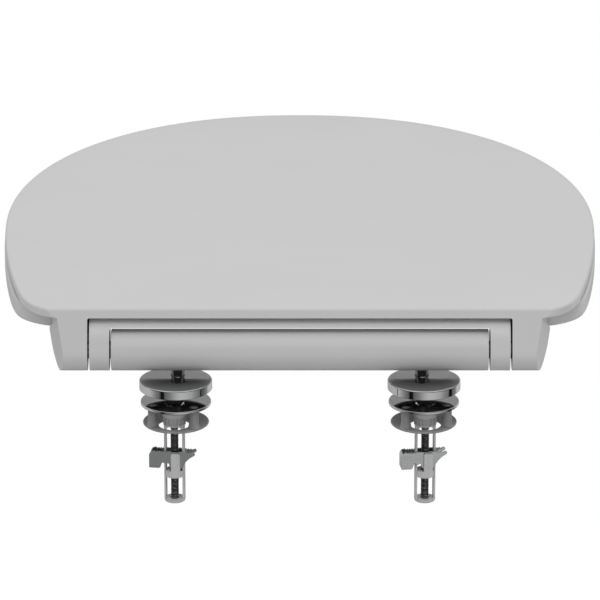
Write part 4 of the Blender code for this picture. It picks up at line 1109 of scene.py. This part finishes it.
def buffer_shape():
    top = -FOOT_SINK
    foot = -LID_RECESS - 0.0007
    r, stem = BUFFER_RADIUS, BUFFER_STEM_RADIUS
    profile = [(0, foot), (r - 0.0005, foot), (r - 0.0001, foot + 0.0002), (r, foot + 0.0005), (r, top)]
    profile += [(stem, top), (stem, BUFFER_STEM_TOP), (0, BUFFER_STEM_TOP)]
    return turned(profile, 56)


def barrel_shape():
    """The bar, with bores for the cartridges and sockets for the posts."""
    r = BARREL_RADIUS - BAR_CHAMFER
    profile = [(0, -BAR_HALF), (r, -BAR_HALF)] + arc((r, -BAR_HALF + BAR_CHAMFER), BAR_CHAMFER, -60, 0, 4)
    profile += [(r, -z) for r, z in reversed(profile)]
    shape = moved(turned(profile, 128), Matrix.Rotation(pi / 2, 4, "Y"))
    steps = []
    post_x = FIXING_X - POST_FROM_SCREW * sin(FIXING_TURN)
    for side, _ in SIDES:
        start, end = sorted((side * (BAR_HALF - CARTRIDGE_DEPTH), side * (BAR_HALF + 0.001)))
        steps.append(("cut", rod(CARTRIDGE_BORE, start, end)))
        steps.append(("cut", shifted(turned(POST_SOCKET, 56), side * post_x)))
    return worked(shape, steps, 0.0002, 2)


# The pieces

piece("lid_shell", lid_shell(), HINGE, "cover", "seat_plastic", ["lid"])
piece("ring_shell", ring_shell(), HINGE, "seat", "seat_plastic", ["seat_ring"])
piece("barrel", barrel_shape(), HINGE, "hinge_base", "bar_plastic", ["hinge_bar"])

for place, label in zip(bumper_places(), ("front_left", "front_right", "rear_left", "rear_right")):
    mesh = worked(shifted(bumper_shape(), *place))
    piece(f"ring_foot_{label}", mesh, HINGE, "seat", "foot_rubber", [f"ring_bumper_{label}"])

THREAD_SIZES = {"Radius": SCREW_RADIUS, "Pitch": THREAD_PITCH, "Depth": THREAD_DEPTH * RIDGE_SHARE}
THREAD_SIZES.update({"Length": THREAD_LENGTH, "Finish": FINISHES["dark_steel"]})
RIB_SIZES = {"Count": RIB_COUNT, "Radius": CAGE_RADIUS, "Size": RIB_SIZE}
RIB_SIZES["Finish"] = FINISHES["fixing_plastic"]

thread = thread_tree()
ribs = rib_tree()
for side, word in SIDES:
    fixing = Matrix.Translation((side * FIXING_X, 0, 0)) @ Matrix.Rotation(side * FIXING_TURN, 4, "Z")
    pad = worked(shifted(buffer_shape(), *buffer_place(side)))
    piece(f"lid_pad_{word}", pad, HINGE, "cover", "foot_rubber", [f"lid_buffer_{word}"])
    piece(f"cover_cap_{word}", cap_shape(), fixing, f"{word}_cap", "chrome", [f"cap_{word}"])
    piece(f"cap_lining_{word}", lining_shape(), fixing, f"{word}_cap", "dark_plastic")
    piece(f"turned_post_{word}", post_shape(), fixing, "hinge_base", "chrome", [f"post_{word}"])
    piece(f"dimpled_plate_{word}", plate_shape(), fixing, "hinge_base", "chrome", [f"base_plate_{word}"])
    washer = f"spacer_washer_{word}"
    piece(f"pegged_spacer_{word}", spacer_shape(), fixing, "hinge_base", "spacer_rubber", [washer])
    piece(f"clamp_screw_{word}", screw_shape(), fixing, f"{word}_screw", "dark_steel", [f"screw_{word}"])
    wound = grown(thread, THREAD_SIZES)
    wound.transform(Matrix.Translation((0, 0, THREAD_FOOT)))
    piece(f"screw_thread_{word}", wound, fixing, f"{word}_screw", "dark_steel", smooth=50)
    piece(f"legged_cage_{word}", cage_shape(), fixing, "hinge_base", "fixing_plastic", [f"cage_{word}"])
    neck = grown(ribs, RIB_SIZES)
    neck.transform(Matrix.Translation((0, 0, RIB_HEIGHT)))
    piece(f"neck_ribs_{word}", neck, fixing, "hinge_base", "fixing_plastic")
    nut = f"nut_carrier_{word}"
    piece(f"tongued_carrier_{word}", carrier_shape(), fixing, f"{word}_carrier", "fixing_plastic", [nut])
    piece(f"folded_toggle_{word}", toggle_shape(), fixing, f"{word}_toggle", "zinc_steel", [f"toggle_{word}"])

# Nodes of the part that show as they are

slots = {entry["node"]: entry["material_slot"] for entry in frame["record"]["subparts"]}
for name, item in frame["nodes"].items():
    item.data.materials.clear()
    item.data.materials.append(FINISHES[slots[name]])

# Stage, light and camera

FLOOR_DEPTH = 0.32
FLOOR_REACH = 0.6

# Brightness by height, from straight below at 0 to straight above at 1, as gloss and as the rest see it
GLOSS_DOME = (
    (0.0, 0.02), (0.27, 0.10), (0.30, 0.60), (0.38, 0.78),
    (0.50, 0.70), (0.62, 0.72), (0.80, 0.80), (1.0, 0.86),
)
SOFT_DOME = (
    (0.0, 0.62), (0.25, 0.64), (0.40, 0.56), (0.50, 0.40),
    (0.60, 0.42), (0.70, 0.60), (0.85, 0.72), (1.0, 0.74),
)

# What gloss alone sees, by bearing from the camera's side towards the right: black flags and a bright card
AROUND = (
    (-180, 0.60), (-120, 0.90), (-88, 0.95), (-66, 0.45), (-50, 0.20), (-47, 0.01), (-37, 0.01), (-34, 0.22),
    (-16, 0.45), (0, 0.80), (14, 1.0), (32, 0.95), (50, 0.80), (68, 0.48), (83, 0.35), (86, 0.01), (98, 0.01),
    (101, 0.30), (116, 0.40), (126, 1.0), (150, 1.0), (165, 0.60), (180, 0.60),
)

scene = bpy.context.scene
scene.view_settings.view_transform = "Standard"


def stage_material(name, seen, lit, glossed):
    """White to the camera, pale grey for the light that it throws back, and dark in gloss."""
    made = bpy.data.materials.new(name)
    made.use_nodes = True
    tree = made.node_tree
    tree.nodes.remove(tree.nodes["Principled BSDF"])
    output = tree.nodes["Material Output"]
    path = make_node(tree, "ShaderNodeLightPath")
    pale = make_node(tree, "ShaderNodeBsdfDiffuse", {"Color": grey(0.30)})
    glow = make_node(tree, "ShaderNodeEmission", {"Color": grey(1.0), "Strength": seen})
    shown = make_node(tree, "ShaderNodeAddShader", {0: pale.out(0), 1: glow.out(0)})
    colour = blend_colour(tree, path.out("Is Glossy Ray"), grey(lit), grey(glossed))
    back = make_node(tree, "ShaderNodeBsdfDiffuse", {"Color": colour})
    camera_ray = path.out("Is Camera Ray")
    mixed = make_node(tree, "ShaderNodeMixShader", {0: camera_ray, 1: back.out(0), 2: shown.out(0)})
    feed(tree, output.inputs["Surface"], mixed.out(0))
    return made


floor_mesh = bpy.data.meshes.new("floor")
floor_signs = ((-1, -1), (1, -1), (1, 1), (-1, 1))
floor_corners = [(FLOOR_REACH * x, FLOOR_REACH * y, -FLOOR_DEPTH) for x, y in floor_signs]
floor_mesh.from_pydata(floor_corners, [], [(0, 1, 2, 3)])
floor_mesh.materials.append(stage_material("pale floor", 0.80, 0.75, 0.12))
floor = in_scene("floor", floor_mesh)

world = bpy.data.worlds.new("studio")
scene.world = world
world.use_nodes = True
tree = world.node_tree
path = make_node(tree, "ShaderNodeLightPath")
direction = make_node(tree, "ShaderNodeTexCoord").out("Generated")
parts = make_node(tree, "ShaderNodeSeparateXYZ", {0: direction})
across, along, height = (parts.out(axis) for axis in "XYZ")


def grey_ramp(stops, value):
    stops = [(place, (level, level, level)) for place, level in stops]
    return make_node(tree, "ShaderNodeValToRGB", {0: value}, stops=stops).out(0)


def dome(stops):
    return grey_ramp(stops, height * 0.5 + 0.5)


bearing = across.maths("ARCTAN2", across, along * -1.0) / (2 * pi) + 0.5
around = grey_ramp([((turn + 180) / 360, level) for turn, level in AROUND], bearing)

# A dark room on the camera's side, and the ring of flags round the object, both for gloss alone
room = along.between(-0.15, 0.25, 1.0, 0.0) * height.between(0.03, 0.12)
room *= height.between(0.62, 0.78, 1.0, 0.0)
low = height.between(0.05, 0.20, 1.0, 0.0)
layers = {0: low, 6: dome(GLOSS_DOME), 7: around}
ringed = make_node(tree, "ShaderNodeMix", layers, data_type="RGBA", blend_type="MULTIPLY").out(2)
polished = blend_colour(tree, room, ringed, grey(0.02))
lit = blend_colour(tree, path.out("Is Glossy Ray"), dome(SOFT_DOME), polished)
shown = blend_colour(tree, path.out("Is Camera Ray"), lit, grey(1.0))
background = tree.nodes["Background"]
feed(tree, background.inputs["Color"], shown)
background.inputs["Strength"].default_value = 1.0


def lamp(name, place, aim, size, power):
    """A soft rectangle of light that gloss doesn't see."""
    data = bpy.data.lights.new(name, "AREA")
    data.shape = "RECTANGLE"
    data.size, data.size_y = size
    data.energy = power
    item = in_scene(name, data)
    item.location = place
    item.rotation_euler = (Vector(aim) - Vector(place)).to_track_quat("-Z", "Y").to_euler()
    item.visible_glossy = False


lamp("overhead", (0.0, 0.95, 1.0), (0, 0.25, 0), (1.6, 0.9), 1.3)
lamp("from_behind_the_hinge", (0.2, -1.28, 1.92), (0, 0, 0), (1.5, 1.1), 13.0)

CAMERA_PLACE = (0.0001, -2.88772, 1.10161)
CAMERA_DEPRESSION = radians(19.438)
camera_data = bpy.data.cameras.new("camera")
camera_data.sensor_width = 36
camera_data.lens = 300
camera_data.clip_end = 50
camera = in_scene("camera", camera_data)
camera.location = CAMERA_PLACE
camera.rotation_euler = (pi / 2 - CAMERA_DEPRESSION, 0, 0)
scene.camera = camera
